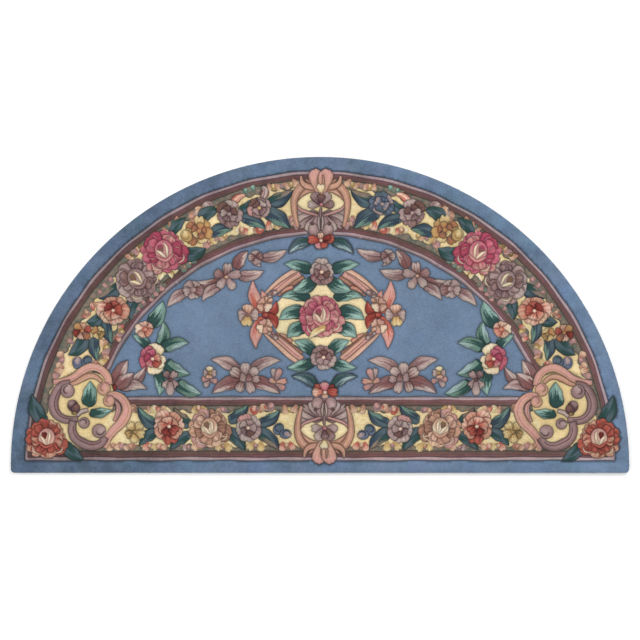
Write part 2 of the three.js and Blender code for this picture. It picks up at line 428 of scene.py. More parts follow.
def ribbon(line, halves):
    """The outline of a band along a line, at its half widths."""
    aside = across(line) * np.broadcast_to(halves, len(line))[:, None]
    return np.concatenate([line + aside, (line - aside)[::-1]])


def patch(outline, spine, half, dyes, style, rise=1.1, cut=1.0, family=None):
    return Patch(np.asarray(outline, float), np.asarray(spine, float), half, dyes, style, rise, cut, family)


def ground(outline, dye, fleck=None):
    """A plain area, flecked where a second dye is given, or with no dye a place left open.

    Nothing is shaded along it, so any two of its places do for a spine.
    """
    return patch(outline, outline[:2], 1.0, (dye, fleck or dye) if dye else None, "ground", 0.0)


# How many places an oval's outline has at least, and for each square of its radius.
OVAL_LEAST = 9
OVAL_PLACES = 2.6


def oval(centre, radius, shade, turn=0.0, squash=1.0, style="bead", rise=1.2, cut=1.0):
    """A round or oval patch, in a named shade or in a root and a tip dye."""
    centre = np.array(centre, float)
    way = np.linspace(0, 2 * math.pi, max(OVAL_LEAST, round(radius * OVAL_PLACES)), endpoint=False)
    long = turned(radius, turn)
    short = turned(radius * squash, turn + 90)
    outline = centre + np.cos(way)[:, None] * long + np.sin(way)[:, None] * short
    dyes = SHADES[shade] if isinstance(shade, str) else shade
    return patch(outline, [centre - long, centre + long], radius * squash, dyes, style, rise, cut)


# A leaf: the places along it, the share of its length where it is widest, how broad its base is, how
# its sides narrow to the tip, and how far and how often they wave. Its midrib ends some places before
# the tip and narrows from one width to the other.
LEAF_PLACES = 16
RIB_END = 12
LEAF_WIDEST = 0.4
LEAF_BASE = 0.25
LEAF_NARROWING = 0.85
LEAF_WAVE = 0.07
LEAF_WAVE_PACE = 13
MIDRIB = (0.055, 0.015)


def leaf(base, tip, width, kind, bend):
    """A pointed leaf, widest below its middle, with one side paler than the other and a midrib."""
    family = next(families)
    base = np.array(base, float)
    run = np.array(tip, float) - base
    share = np.linspace(0, 1, LEAF_PLACES)
    aside = np.array([-run[1], run[0]]) * bend
    spine = base + share[:, None] * run + np.sin(math.pi * share)[:, None] * aside
    lower = np.sqrt(np.clip(1 - (1 - share / LEAF_WIDEST) ** 2, 0, 1))
    past = np.clip((share - LEAF_WIDEST) / (1 - LEAF_WIDEST), 0, 1)
    upper = np.cos(math.pi / 2 * past) ** LEAF_NARROWING
    wave = 1 + LEAF_WAVE * np.sin(LEAF_WAVE_PACE * share + base[0])
    fullness = np.where(share < LEAF_WIDEST, LEAF_BASE + (1 - LEAF_BASE) * lower, upper)
    halves = width / 2 * wave * fullness
    dark_half, pale_half, rib = LEAVES[kind]
    rim = spine + across(spine) * (halves * (1 if bend < 0 else -1))[:, None]
    half = np.concatenate([spine[2:], rim[2:-1][::-1]])
    vein = spine[1:RIB_END]
    vein_halves = np.linspace(*MIDRIB, len(vein)) * width
    return [
        patch(ribbon(spine, halves)[:-1], spine, width / 2, dark_half, "leaf", 1.0, 1.0, family),
        patch(half, spine, width / 2, pale_half, "leaf", 1.0, 1.0, family),
        patch(ribbon(vein, vein_halves), vein, width, (rib, rib), "ground", 1.0, 1.0, family),
    ]


def each(draw, rows):
    """All that a way of drawing makes of a table's rows, in their order."""
    return [part for row in rows for part in draw(*row)]


# No two motifs are cut alike. In the drawings below a sine of a motif's place and number stands for
# that unevenness: it looks random, and it is the same each time.
PETAL_CURL = 0.09


def petal(root, tip, width, shade):
    """A petal, narrow at its root and broad at its end, which is notched and a little ragged."""
    root = np.array(root, float)
    run = np.array(tip, float) - root
    aside = np.array([-run[1], run[0]]) / np.linalg.norm(run) * width / 2
    curl = PETAL_CURL * math.sin(5.3 * tip[0] + 3.7 * tip[1])
    # each place on the rim as a share of the petal's length, and of its half width to the side
    left = ((0.0, 0.3), (0.3, 0.66), (0.62, 1.0 + curl), (0.84, 0.84))
    end = ((0.95 + curl / 2, 0.6), (0.99, 0.22), (0.93 - curl / 2, -0.03), (1.0, -0.3))
    right = ((0.9, -0.72), (0.68, -1.0 + curl), (0.3, -0.7), (0.0, -0.3))
    outline = curve([root + x * run + y * aside for x, y in left + end + right], 3, closed=True)
    return patch(outline, [root, root + run], width / 2, SHADES[shade], "petal")


def petals_from(root, rows):
    """Petals from one root, each row with a petal's tip, width and shade."""
    return [petal(root, tip, width, shade) for tip, width, shade in rows]


# A blossom's petals start near its middle and together are broader than its rim, so they overlap.
# They sway from their even places by some degrees, and in their reach and breadth by a share.
PETAL_START = 0.06
PETAL_BREADTHS = 5.6
SWAY_DEGREES = 7
SWAY_REACH = 0.1
SWAY_BREADTH = 0.08
INNER_RING = 0.62


def blossom(centre, radius, turn, outer, heart=None, width=1.0, heart_size=0.18, inner=()):
    """A flower of petals, each in its own shade, with a shorter ring inside where it is a double one."""
    centre = np.array(centre, float)
    parts = []
    for ring, size in ((outer, radius), (inner, INNER_RING * radius)):
        start = turn if ring is outer else turn + 180 / len(outer)
        for number, shade in enumerate(ring):
            sway = math.sin(2.3 * number + centre[0] + 0.7 * centre[1])
            way = start + 360 * number / len(ring) + SWAY_DEGREES * sway
            reach = size * (1 + SWAY_REACH * math.sin(4.1 * number + centre[0]))
            span = width * size * PETAL_BREADTHS / len(ring) * (1 + SWAY_BREADTH * sway)
            root = centre + turned(PETAL_START * size, way)
            parts.append(petal(root, centre + turned(reach, way), span, shade))
    if heart:
        parts.append(oval(centre, heart_size * radius, heart, cut=0.6))
    return parts


def lip(points, width, shade):
    """A narrow crescent with slightly blunt ends: the edge of a petal folded over."""
    line = curve(points)
    halves = width / 2 * np.sin(math.pi * shares(line).clip(0.03, 0.97)) ** 0.7
    return patch(ribbon(line, halves), line, width / 2, SHADES[shade], "band", 1.4, 0.7)


# A rose's outer and inner petals: the way each one points, then how far it reaches and how broad it
# is, as shares of the rose's radius. Its cup's radius is such a share too.
OUTER_PETALS = (
    (20, 0.9, 0.8), (330, 1.12, 0.9), (222, 1.09, 0.88), (275, 0.98, 0.84),
    (172, 1.03, 0.92), (62, 0.93, 0.84), (118, 0.97, 0.96),
)
INNER_PETALS = (
    (48, 0.76, 0.62), (350, 0.8, 0.66), (300, 0.74, 0.6),
    (245, 0.8, 0.66), (190, 0.74, 0.6), (140, 0.8, 0.7),
)
ROSE_CUP = 0.46


def rose(centre, radius, turn, kind):
    """A full rose: uneven frilled petals, some with a pale edge, and a cup parted over its heart."""
    outer, inner, cup, heart, lips = ROSES[kind]
    centre = np.array(centre, float)
    cup_radius = ROSE_CUP * radius
    parts = []

    def at(share, degrees):
        return centre + turned(share * radius, turn + degrees)

    def fold(places, width, shade):
        parts.append(lip([at(*place) for place in places], width, shade))

    for number, (way, reach, span) in enumerate(OUTER_PETALS):
        parts.append(petal(at(0.2, way), at(reach, way), span * radius, outer[number % len(outer)]))
        fold(((0.55, way - 17), (0.8, way - 11), (0.93 * reach, way - 3)), 0.1 * radius, outer[-1])
    for number, (way, reach, span) in enumerate(INNER_PETALS):
        parts.append(petal(at(0.2, way), at(reach, way), span * radius, inner[number % len(inner)]))
        fold(((0.5, way + 14), (0.63, way + 8), (0.94 * reach, way)), 0.08 * radius, inner[0])
    fold(((0.78, 208), (0.9, 226), (0.84, 246)), 0.07 * radius, lips)
    fold(((0.82, 300), (0.94, 318), (0.88, 334)), 0.07 * radius, lips)
    parts.append(oval(at(0.04, 90), cup_radius, cup, turn + 80, 0.88, "cup", 1.5))
    parts.append(petal(at(0.08, 190), at(0.34, 112), 0.6 * cup_radius, heart)._replace(cut=0.5))
    fold(((0.36, 158), (0.17, 200), (0.33, 268)), 0.34 * cup_radius, lips)
    fold(((0.4, 78), (0.2, 38), (0.3, 282)), 0.3 * cup_radius, lips)
    fold(((0.44, 192), (0.42, 262), (0.44, 330)), 0.42 * cup_radius, inner[0])
    return parts


# How far from a scroll's ends its dark lines start, as a share of its length.
VEIN_START = 0.06


def scroll(points, width, shade, line=None, taper=(0.5, 1.0, 0.6), sides=(0.0,)):
    """A winding band, with thin dark lines laid along it where a dye is named for them.

    Its width follows the taper, and each line lies at a share of the half width to the side.
    """
    family = next(families)
    way = curve(points)
    share = shares(way)
    halves = width / 2 * np.interp(share, np.linspace(0, 1, len(taper)), taper)
    parts = [patch(ribbon(way, halves), way, width / 2, SHADES[shade], "band", 1.3, 1.0, family)]
    inside_ends = (share >= VEIN_START) & (share <= 1 - VEIN_START)
    for side in sides if line else ():
        middle = (way + across(way) * (halves * side)[:, None])[inside_ends]
        vein = patch(ribbon(middle, width * 0.05), middle, width, (line, line), "ground", 1.3)
        parts.append(vein._replace(family=family))
    return parts


# The line in a rolled end: where it starts and how far it winds inwards, and its width besides a
# least one in squares. All but the last are shares of the rolled end's radius.
HOOK_START = 0.78
HOOK_WINDING = 0.45
HOOK_WIDTH = 0.07
HOOK_LEAST = 0.1


def hook(centre, radius, turn, shade, line, sweep, squash=1.0):
    """The rolled end of a scroll: a round with a line in it, which winds inwards as it sweeps round."""
    centre = np.array(centre, float)
    steps = np.linspace(0, 1, 8)
    reach = radius * (HOOK_START - HOOK_WINDING * steps)
    way = np.stack([centre + turned(far, turn + sweep * step) for far, step in zip(reach, steps)])
    halves = radius * HOOK_WIDTH * np.sin(math.pi * (0.2 + 0.75 * steps)) + HOOK_LEAST
    return [
        oval(centre, radius, shade, turn, squash, "bead", 1.4),
        patch(ribbon(way, halves), way, radius, (line, line), "ground", 0.3, 0.5),
    ]


# A frill's lappets, in shares of its width: how far apart they lie, how large they are and how much
# that sways. Each is longer and broader than its size by the last two, and every so many is a curl.
LAPPET_STEP = 0.6
LAPPET_SIZE = 0.66
LAPPET_SWAY = 0.16
LAPPET_REACH = 0.8
LAPPET_BREADTH = 1.3
CURL_EVERY = 4


def frill(points, width, shades_used):
    """A run of small overlapping lappets and curls along a line."""
    way = curve(points)
    share = shares(way)
    length = np.linalg.norm(np.diff(way, axis=0), axis=1).sum()
    count = max(2, round(length / (LAPPET_STEP * width)))
    lean = math.degrees(math.atan2(way[0][1] - way[-1][1], way[-1][0] - way[0][0]))
    parts = []
    for number in range(count):
        at = (number + 0.5) / count
        sway = math.sin(2.7 * number + points[0][0])
        centre = np.array([np.interp(at, share, way[:, 0]), np.interp(at, share, way[:, 1])])
        size = width * (LAPPET_SIZE + LAPPET_SWAY * math.cos(3.3 * number + points[0][1]))
        reach = LAPPET_REACH * size
        shade = shades_used[number % len(shades_used)]
        if number % CURL_EVERY == 1:
            curl = hook(centre, reach, lean + 120 + 60 * sway, shade, SHADES[shade][0], 220, 0.85)
            parts += [part._replace(cut=0.5) for part in curl]
        else:
            step = turned(reach, lean + 90 * (1 if number % 2 else -1) + 50 * sway)
            lappet = petal(centre - step, centre + step, LAPPET_BREADTH * size, shade)
            parts.append(lappet._replace(cut=0.5))
    return parts


# A hand-drawn line's long waves, as shares of its short waves' length and swell.
LONG_WAVE = 2.4
LONG_SWELL = 0.7


def by_hand(ring, swell, wave, start):
    """A ring that wavers as a line drawn and carved by hand does, in short waves and in long ones."""
    run = np.concatenate([[0], np.cumsum(np.linalg.norm(np.diff(ring, axis=0), axis=1))])
    sway = np.sin(run * 2 * math.pi / wave + start)
    sway = sway + LONG_SWELL * np.sin(run * 2 * math.pi / (wave * LONG_WAVE) + 2 * start)
    return ring + across(ring) * (swell * sway)[:, None]


def turned_over(parts, turn_across, turn_down, at_across, at_down):
    """The parts mirrored, or not, across and down the paper and set elsewhere on it."""
    way = np.array([turn_across, turn_down], float)
    new_family = {}
    result = []
    for part in parts:
        outline = part.outline * way + (at_across, at_down)
        if turn_across * turn_down < 0:
            outline = outline[::-1]
        family = part.family
        if family is not None:
            family = new_family.setdefault(family, next(families))
        spine = part.spine * way + (at_across, at_down)
        result.append(part._replace(outline=outline, spine=spine, family=family))
    return result


def both_sides(parts, axis, drop=0.0):
    """The parts and their mirror image about a column, set a little lower where the drawing sags."""
    return parts + turned_over(parts, -1, 1, 2 * axis, drop)


def cartouche(centre, outward, pansy):
    """A middle cartouche: a frame about a pansy, lobes at its outer end and curls at its inner end.

    It is drawn about its own middle, with rows running outward, then set on the paper.
    """
    fan = (
        # the end of each fold, its width and its shade
        ((-24, -4), 7, "pale mauve"),
        ((-26, -10), 8, "mauve"),
        ((-25, -17), 8.5, "pale mauve"),
        ((-22, -24), 8.5, "pale dusk"),
        ((-15, -28), 9, "pale mauve"),
        ((-7, -27), 9, "mauve"),
    )
    frame_and_lobe = (
        # the places a scroll passes through, its width, shade, lines, taper and the lines' sides
        (((-2, 13.5), (-12, 13), (-20, 8.5), (-26, 1)), 6.5, "peach", "clay", (0.7, 1.0, 0.6)),
        (((-26, 1), (-21, -6), (-13, -9.5), (-3, -12.5)), 3.6, "pink"),
        (
            ((-17, 18), (-23, 12), (-26.5, 3), (-26.5, -7), (-25, -16), (-22.5, -24)),
            7.4, "peach", "clay", (1.2, 1.1, 0.9, 0.7, 0.4), (-0.35,),
        ),
        (((-4, 16.5), (-10, 19.5), (-15.5, 24)), 4.5, "clay", None, (0.6, 1.0, 0.5)),
        (((-5, 18.5), (-8.5, 21.5), (-12, 27)), 3.5, "sand", None, (0.6, 1.0, 0.5)),
        (((-20, 27.5), (-18.5, 20.5), (-13, 16.5), (-3, 15.5)), 6.5, "peach", "clay", (0.35, 1.0, 0.9)),
    )
    half = petals_from((-1.5, -11), fan)
    half.append(oval((-15.5, 1.5), 12, ("pale cream", "pale cream"), 0, 0.82, "ground", 0.0))
    half += each(scroll, frame_and_lobe)
    half.append(petal((-0.9, 9.5), (-7.5, 34), 15, "rosy"))
    half += scroll(((-2.0, 28), (-2.6, 22), (-1.4, 14)), 2.4, "peach", None, (0.5, 1.0, 0.5))
    half.append(oval((-6.8, -27), 6.2, "mauve", 250, 0.95, "bead", 1.5))
    half.append(oval((-8.6, -20.6), 1.9, "umber", 20, 0.8))
    half += scroll(((-1.2, -13), (-2.2, -19), (-1.0, -27)), 2.8, "pale mauve", None, (0.6, 1.0, 0.6))
    whole = both_sides(half, 0.0)
    whole.append(petal((0, 10.5), (0, 19), 9, "cream"))
    whole += scroll(((0.3, -4), (-0.3, -9), (0, -15)), 3.4, "dusk")
    tips = ((-13, -1.5), (13.5, -1), (-8.5, 10), (9, 10))
    whole += petals_from((0, -1.5), zip(tips, (8.5, 9, 10, 10), pansy))
    whole.append(petal((0, 0.5), (0.5, 9), 8, pansy[-1]))
    whole.append(oval((0.4, -1.5), 2.1, "bright pink", 0, 0.85))
    return turned_over(whole, 1, outward, *centre)


def border_grounds():
    """A border's cream ground, the flecked sage one along both its edges, and the field left open."""
    grounds = []
    for dye, fleck, arc_inset, straight_inset, swell, wave, start in (
        # dye, its flecks, inset from the arc and from the straight edge, then how the line wavers
        ("sage", "dark sage", 22.6, 21.8, 0.3, 47.0, 2.0),
        ("cream", "pale cream", 30.5, 27.2, 1.3, 13.0, 1.0),
        ("sage", "dark sage", 62.4, 61.6, 1.3, 13.0, 4.0),
        (None, None, 68.6, 67.3, 0.3, 39.0, 0.0),
    ):
        outline = by_hand(half_moon(arc_inset, straight_inset), swell, wave, start)
        grounds.append(ground(outline, dye, fleck))
    return grounds


# The straight border reaches up to the row where the arc border's foot stands on it. From there to a
# row above the whole rug, its drawing is left open.
ARC_FOOT_ROW = 383.0
TOP_ROW = 100.0

straight = border_grounds()
above = [(0, TOP_ROW), (2 * MIDDLE, TOP_ROW), (2 * MIDDLE, ARC_FOOT_ROW), (0, ARC_FOOT_ROW)]
straight.append(ground(above, None))

straight += both_sides(each(frill, (
    # the places a frill passes through, its width, and the shades of its curls
    (((107, 447), (116, 446), (125, 447), (134, 446)), 7.5, ("sand", "peach", "sand", "pink")),
    (((144, 447), (151, 446), (159, 447), (167, 446)), 7.5, ("pale coral", "sand", "gold")),
    (((132, 412), (133, 406)), 6.5, ("pink", "sand")),
    (((147, 410), (154, 409), (162, 410), (170, 410)), 7.5, ("sand", "cream", "pale coral")),
    (((183, 447), (190, 448)), 6, ("pale mauve", "pink")),
    (((192, 410), (199, 409), (206, 409)), 7.5, ("gold", "sand")),
    (((194, 446), (202, 447)), 7.5, ("sand", "gold")),
    (((216, 446), (224, 446), (230, 448)), 7.5, ("gold", "sand")),
    (((218, 410), (226, 410)), 7, ("sand", "pink")),
    (((248, 411), (256, 410), (265, 408), (273, 407)), 7.5, ("sand", "pale coral", "pink")),
    (((249, 446), (256, 446), (263, 447)), 7.5, ("gold", "pink")),
    (((280, 447), (287, 446), (294, 446)), 7.5, ("pale coral", "sand")),
    (((283, 409), (290, 410), (297, 408)), 7.5, ("sand", "gold", "sand")),
)), 324.0)
straight += both_sides(each(leaf, (
    # base, tip, width, kind, bend
    ((160, 428), (138, 407), 12.5, "blue leaf", -0.12),
    ((159, 431), (139, 446), 11.5, "green leaf", 0.1),
    ((191, 425), (174, 408), 14, "dusky leaf", -0.15),
    ((191, 434), (170, 450), 12, "green leaf", 0.1),
    ((228, 421), (248, 405), 13, "blue leaf", 0.1),
    ((225, 430), (245, 451), 13.5, "green leaf", -0.1),
    ((258, 424), (280, 410), 12, "blue leaf", 0.12),
    ((256, 431), (279, 450), 13.5, "dusky leaf", -0.1),
)), 324.0)
straight += both_sides(
    blossom((134.5, 432), 10.5, 55, ("gold", "gold", "old gold", "gold", "gold"), "old gold", 0.8, 0.25),
    324.0,
)
straight += both_sides(
    blossom(
        (169, 426.5), 16.5, 14,
        ("pale coral", "coral", "pale coral", "pale coral", "coral", "dark red", "coral"),
        "pale shell", 1.1, 0.12,
        ("coral", "pale coral", "coral", "deep red", "dark red"),
    ),
    323.0,
)
straight += both_sides(rose((209.5, 428), 20.5, 10, "peach rose"), 325.0)
straight += both_sides(
    blossom(
        (248, 428), 13.5, 40,
        ("pale mauve", "pink", "pale mauve", "pale mauve", "mauve"),
        "pale shell", 1.0, 0.14,
        ("mauve", "pale mauve", "dusk", "umber", "mauve"),
    )
    + hook((278.5, 429), 6.2, 60, "slate blue", "ink", 220, 0.85)
    + hook((285.5, 434), 6, 0, "blue", "ink", 220, 0.8),
    324.3,
    1.0,
)

# The corner cartouche: rolled scrolls around a plain eye with two leaves.
corner = [oval((86, 404), 33, ("cream", "cream"), 60, 0.8, "ground", 0.0)]
corner += scroll(
    ((53, 382), (63, 381), (74, 377), (82, 371), (91, 367), (100, 369), (107, 376), (109, 385)),
    8.5, "rosy", "clay", (0.6, 1.0, 0.9), (0.3,),
)
corner += scroll(
    ((66, 385), (75, 383), (82, 379), (89, 376), (96, 377), (102, 382)),
    6.5, "peach", "clay", (0.4, 1.0, 0.6),
)
corner += hook((104, 389), 6.6, 100, "rosy", "clay", 150)
corner += scroll(
    ((108, 396), (116, 395), (124, 401), (127, 411), (122, 422), (114, 430), (108, 438), (104, 448)),
    9.5, "rosy", "clay", (0.7, 1.1, 0.7), (-0.3,),
)
corner += scroll(((113, 400), (118, 405), (118, 413), (114, 421)), 6, "pink", "bark", (0.4, 1.0, 0.5))
corner += hook((109, 401), 5.8, 80, "rosy", "clay", 150)
corner += scroll(
    ((70, 384), (62, 386), (56, 393), (53, 403), (55, 412), (61, 418), (69, 420), (78, 419)),
    10.5, "dark mauve", "plum", (0.8, 1.0, 0.6), (-0.3,),
)
corner += hook((67.5, 391), 7, 90, "mauve", "plum", 170)
corner += scroll(
    ((73, 421), (72, 430), (75, 438), (82, 443), (91, 446), (100, 444), (105, 437)),
    10.5, "dark mauve", "plum", (0.7, 1.0, 0.7), (-0.3,),
)
corner += hook((99, 431), 7, 0, "mauve", "plum", -170)
corner += hook((84, 423), 5.6, 160, "mauve", "plum", -170)
corner += leaf((87, 407), (90, 381), 15, "field leaf", 0.05)
corner += leaf((89, 413), (112, 410), 10, "field leaf", 0.06)
corner += scroll(((88, 410), (81, 412), (77, 416)), 5, "pale mauve", None, (0.8, 1.0, 0.8))
corner.append(oval((73, 406), 6.4, "dusk", 120, 0.85))
corner.append(oval((75.5, 409), 5.4, "umber", 60, 0.8))
corner.append(oval((74, 413), 2.6, "old gold", 0, 0.7))
corner += leaf((45, 424), (32, 395), 15, "green leaf", -0.08)
corner += leaf((62, 442), (84, 460), 13.5, "green leaf", 0.08)
straight += both_sides(corner, 322.8, 1.0)
straight += both_sides(rose((46.5, 438.5), 20.5, 0, "red rose"), 322.8)

straight += cartouche((324.3, 430), 1, ("pale mauve", "mauve", "pale mauve", "brown mauve", "dusk"))
straight += both_sides(leaf((317, 388), (292, 376.5), 10.5, "slate leaf", 0.16), 324.4)
straight += petals_from((325, 391.5), (
    ((314, 386), 8, "red"),
    ((335, 386.5), 8, "deep red"),
    ((312, 393), 9, "pale coral"),
    ((338, 392.5), 9.5, "red"),
    ((324.5, 382), 9.5, "bright pink"),
    ((325, 399), 7, "shell"),
))
straight.append(oval((325, 392.5), 2.2, "pale shell"))


# Heights of the pile, in metres: where it is sheared, how deep and wide the carver's grooves are,
# how far a motif's rise takes to come up from its groove, and how round the rug's rim is.
MILLIMETRE = 0.001
HIGHEST_MOTIF = 2.2 * MILLIMETRE
PILE_TOP = cad_box[1][2] - HIGHEST_MOTIF
GROOVE_DEPTH = 0.0021
GROOVE_REACH = 0.0015
GROOVE_STEEPNESS = 1.4
RISE_REACH = 0.0024
RIM_ROUND = 0.0045
RIM_DROP = 0.0034

# No groove is cut this near the rim, in metres, nor this near the seam between the two borders, in
# squares, because their ground runs on over it.
UNCARVED_RIM = 2 * SQUARE
SEAM_WIDTH = 0.001

# A place so far off the rug that it is never the nearest, where a drawing has no groove at all.
FAR_OFF = (9, 9, 0)

# The pile isn't quite level. Two waves roll over it: the axis that each one runs along, its pace,
# how far it sways and the pace of its sway along the other axis, in radians a metre.
UNEVENNESS = 0.00022
ROLLING_WAVES = ((0, 61, 2.1, 37), (1, 83, 1.7, 29))

# Spacings of the net of points, in squares: along the drawn lines, beside them and between them,
# where each row of points lies a share of the step below the last. The net's points keep inside the
# rim, and two places nearer than the least gap are one.
TRACE_STEP = 1.15
SHOULDERS = (0.45, 0.95)
SHOULDER_GAP = 0.44
FILL_STEP = 2.1
FILL_ROW = 0.87
FILL_GAP = 1.5
NET_INSET = 0.4
LEAST_GAP = 0.001
LEAST_GAP_METRES = 1e-7

# The ways a patch is shaded, by the numbers that the wool reads, and how far each patch's lot number,
# which runs from 0 to 1 and starts again, lies from the last one's.
STYLES = ("ground", "leaf", "petal", "band", "cup", "bead")
LOT_STEP = 0.618

# The sides of the areas that already hold pile, each from one place on the paper to the next.
tufted = [np.zeros((0, 2, 2))]


def within(places, starts, ends):
    """Which places lie inside the closed outline whose sides have these starts and ends."""
    order = np.argsort(places[:, 1])
    x, y = places[order].T
    first = np.searchsorted(y, np.minimum(starts[:, 1], ends[:, 1]))
    last = np.searchsorted(y, np.maximum(starts[:, 1], ends[:, 1]))
    odd = np.zeros(len(places), bool)
    for (ax, ay), (bx, by), i, j in zip(starts, ends, first, last):
        if i < j:
            odd[i:j] ^= x[i:j] < (bx - ax) * (y[i:j] - ay) / (by - ay) + ax
    result = np.zeros(len(places), bool)
    result[order] = odd
    return result


def covered_by(places, outline):
    """The numbers of the places inside a closed outline."""
    low, high = outline.min(axis=0), outline.max(axis=0)
    close = np.flatnonzero(((places > low) & (places < high)).all(axis=1))
    return close[within(places[close], outline, np.roll(outline, -1, axis=0))]


def holds_pile(places):
    """Which places lie where an earlier piece is already tufted."""
    starts, ends = np.concatenate(tufted).swapaxes(0, 1)
    return within(places, starts, ends)


def topmost(places, drawing):
    """The number of the uppermost patch at each place, or -1 where this drawing shows nothing."""
    top = np.full(len(places), -1)
    for number, part in enumerate(drawing):
        top[covered_by(places, part.outline)] = number if part.dyes else -1
    top[holds_pile(places)] = -1
    return top


def trace(ring):
    """The ring with a point at least every TRACE_STEP squares."""
    result = []
    for start, end in zip(ring, np.roll(ring, -1, axis=0)):
        count = max(1, math.ceil(np.linalg.norm(end - start) / TRACE_STEP))
        result.append(start + (end - start) * (np.arange(count) / count)[:, None])
    return np.concatenate(result)


def thinned(places, spacing, taken):
    """The places that keep their distance from each other and from those already taken."""
    cells = {}
    for column, row in taken.tolist():
        cells.setdefault((int(column / spacing), int(row / spacing)), []).append((column, row))
    kept = []
    for column, row in places.tolist():
        i, j = int(column / spacing), int(row / spacing)
        near = [cells.get((i + a, j + b), ()) for a in (-1, 0, 1) for b in (-1, 0, 1)]
        if not any((x - column) ** 2 + (y - row) ** 2 < spacing**2 for cell in near for x, y in cell):
            cells.setdefault((i, j), []).append((column, row))
            kept.append((column, row))
    return np.array(kept).reshape(-1, 2)


def net_over(drawing):
    """Triangles over all that a drawing shows, with an edge along each line of it that shows."""
    rings = [trace(part.outline) for part in drawing]
    points = np.concatenate(rings)
    layers = np.repeat(np.arange(len(rings)), [len(ring) for ring in rings])
    shown = ~holds_pile(points)
    for number, part in enumerate(drawing):
        over = covered_by(points, part.outline)
        shown[over[layers[over] < number]] = False
    start = 0
    sides = []
    beside = []
    for ring in rings:
        number = start + np.arange(len(ring))
        pairs = np.stack([number, np.roll(number, -1)], axis=1)
        sides.append(pairs[shown[pairs].any(axis=1)])
        aside = across(np.concatenate([ring, ring[:1]]))[:-1]
        beside += [(ring + side * away * aside)[shown[number]] for away in SHOULDERS for side in (-1, 1)]
        start += len(ring)
    sides = np.concatenate([points[np.concatenate(sides)], *tufted])
    corners, numbers = np.unique(sides.reshape(-1, 2).round(6), axis=0, return_inverse=True)
    low, high = points.min(axis=0), points.max(axis=0)
    columns, rows = np.meshgrid(
        np.arange(low[0], high[0], FILL_STEP),
        np.arange(low[1], high[1], FILL_STEP * FILL_ROW),
    )
    columns[1::2] += FILL_STEP / 2
    filling = np.stack([columns.ravel(), rows.ravel()], axis=1)
    rim = half_moon(NET_INSET, NET_INSET, CORNER_ROUND)
    beside = np.concatenate(beside)
    beside, filling = [places[covered_by(places, rim)] for places in (beside, filling)]
    beside, filling = [places[topmost(places, drawing) >= 0] for places in (beside, filling)]
    beside = thinned(beside, SHOULDER_GAP, corners)
    filling = thinned(filling, FILL_GAP, np.concatenate([corners, beside]))
    net = [Vector(place) for place in np.concatenate([corners, beside, filling])]
    found = delaunay_2d_cdt(net, numbers.reshape(-1, 2).tolist(), [], 0, LEAST_GAP, False)
    places = np.array([tuple(place) for place in found[0]])
    triangles = np.array(found[2])
    owner = topmost(places[triangles].mean(axis=1), drawing)
    triangles, owner = triangles[owner >= 0], owner[owner >= 0]
    used, triangles = np.unique(triangles, return_inverse=True)
    # rows run down the paper but up the rug, so each triangle is turned over to face upwards
    return places[used], triangles.reshape(-1, 3)[:, ::-1], owner


def edge_table(triangles):
    """Each edge once, with the numbers of the two triangles beside it, or -1 outside."""
    pairs = np.concatenate([triangles[:, [0, 1]], triangles[:, [1, 2]], triangles[:, [2, 0]]])
    faces = np.tile(np.arange(len(triangles)), 3)
    edges, which = np.unique(np.sort(pairs, axis=1), axis=0, return_inverse=True)
    order = np.argsort(which.ravel(), kind="stable")
    first = np.searchsorted(which.ravel()[order], np.arange(len(edges)))
    last = np.append(first[1:], len(order)) - 1
    beside = np.full((len(edges), 2), -1)
    beside[:, 0] = faces[order[first]]
    beside[last > first, 1] = faces[order[last[last > first]]]
    return edges, beside


def family_numbers(drawing):
    """The number of each patch's family. A patch that belongs to none is a family of its own."""
    kin = []
    for number, part in enumerate(drawing):
        # plain areas of one dye run into each other, as the patches of one family do
        if part.dyes and part.rise == 0:
            kin.append(part.dyes[0])
        elif part.family is None:
            kin.append(-1 - number)
        else:
            kin.append(part.family)
    numbers = {key: number for number, key in enumerate(dict.fromkeys(kin))}
    return np.array([numbers[key] for key in kin])


def carved_edges(drawing, places, triangles, owner, rim_away):
    """The edges that the carver follows, and the share of the full depth cut along each of them."""
    family = family_numbers(drawing)
    cut = np.array([part.cut for part in drawing])
    edges, beside = edge_table(triangles)
    one, other = owner[beside].T
    outside = beside[:, 1] < 0
    carved = (family[one] != family[other]) | outside
    carved &= rim_away[edges].min(axis=1) > UNCARVED_RIM
    carved &= (abs(places[edges][:, :, 1] - ARC_FOOT_ROW) > SEAM_WIDTH).any(axis=1)
    depth = np.minimum(cut[one], np.where(outside, 1.0, cut[other]))
    return edges[carved], depth[carved]


def nearest_grooves(spots, ends, depth):
    """How far each spot lies from the nearest groove, and the share of the full depth cut there."""
    grooves = KDTree(3 * len(ends) + 1)
    grooves.insert(FAR_OFF, 0)
    for number, (start, end) in enumerate(ends):
        for share in (0.0, 0.5, 1.0):
            grooves.insert((*(start + (end - start) * share), 0), number)
    grooves.balance()
    nearest = [grooves.find((*spot, 0))[1:] for spot in spots]
    away = np.array([distance for _, distance in nearest])
    return away, np.append(depth, 1.0)[[number for number, _ in nearest]]


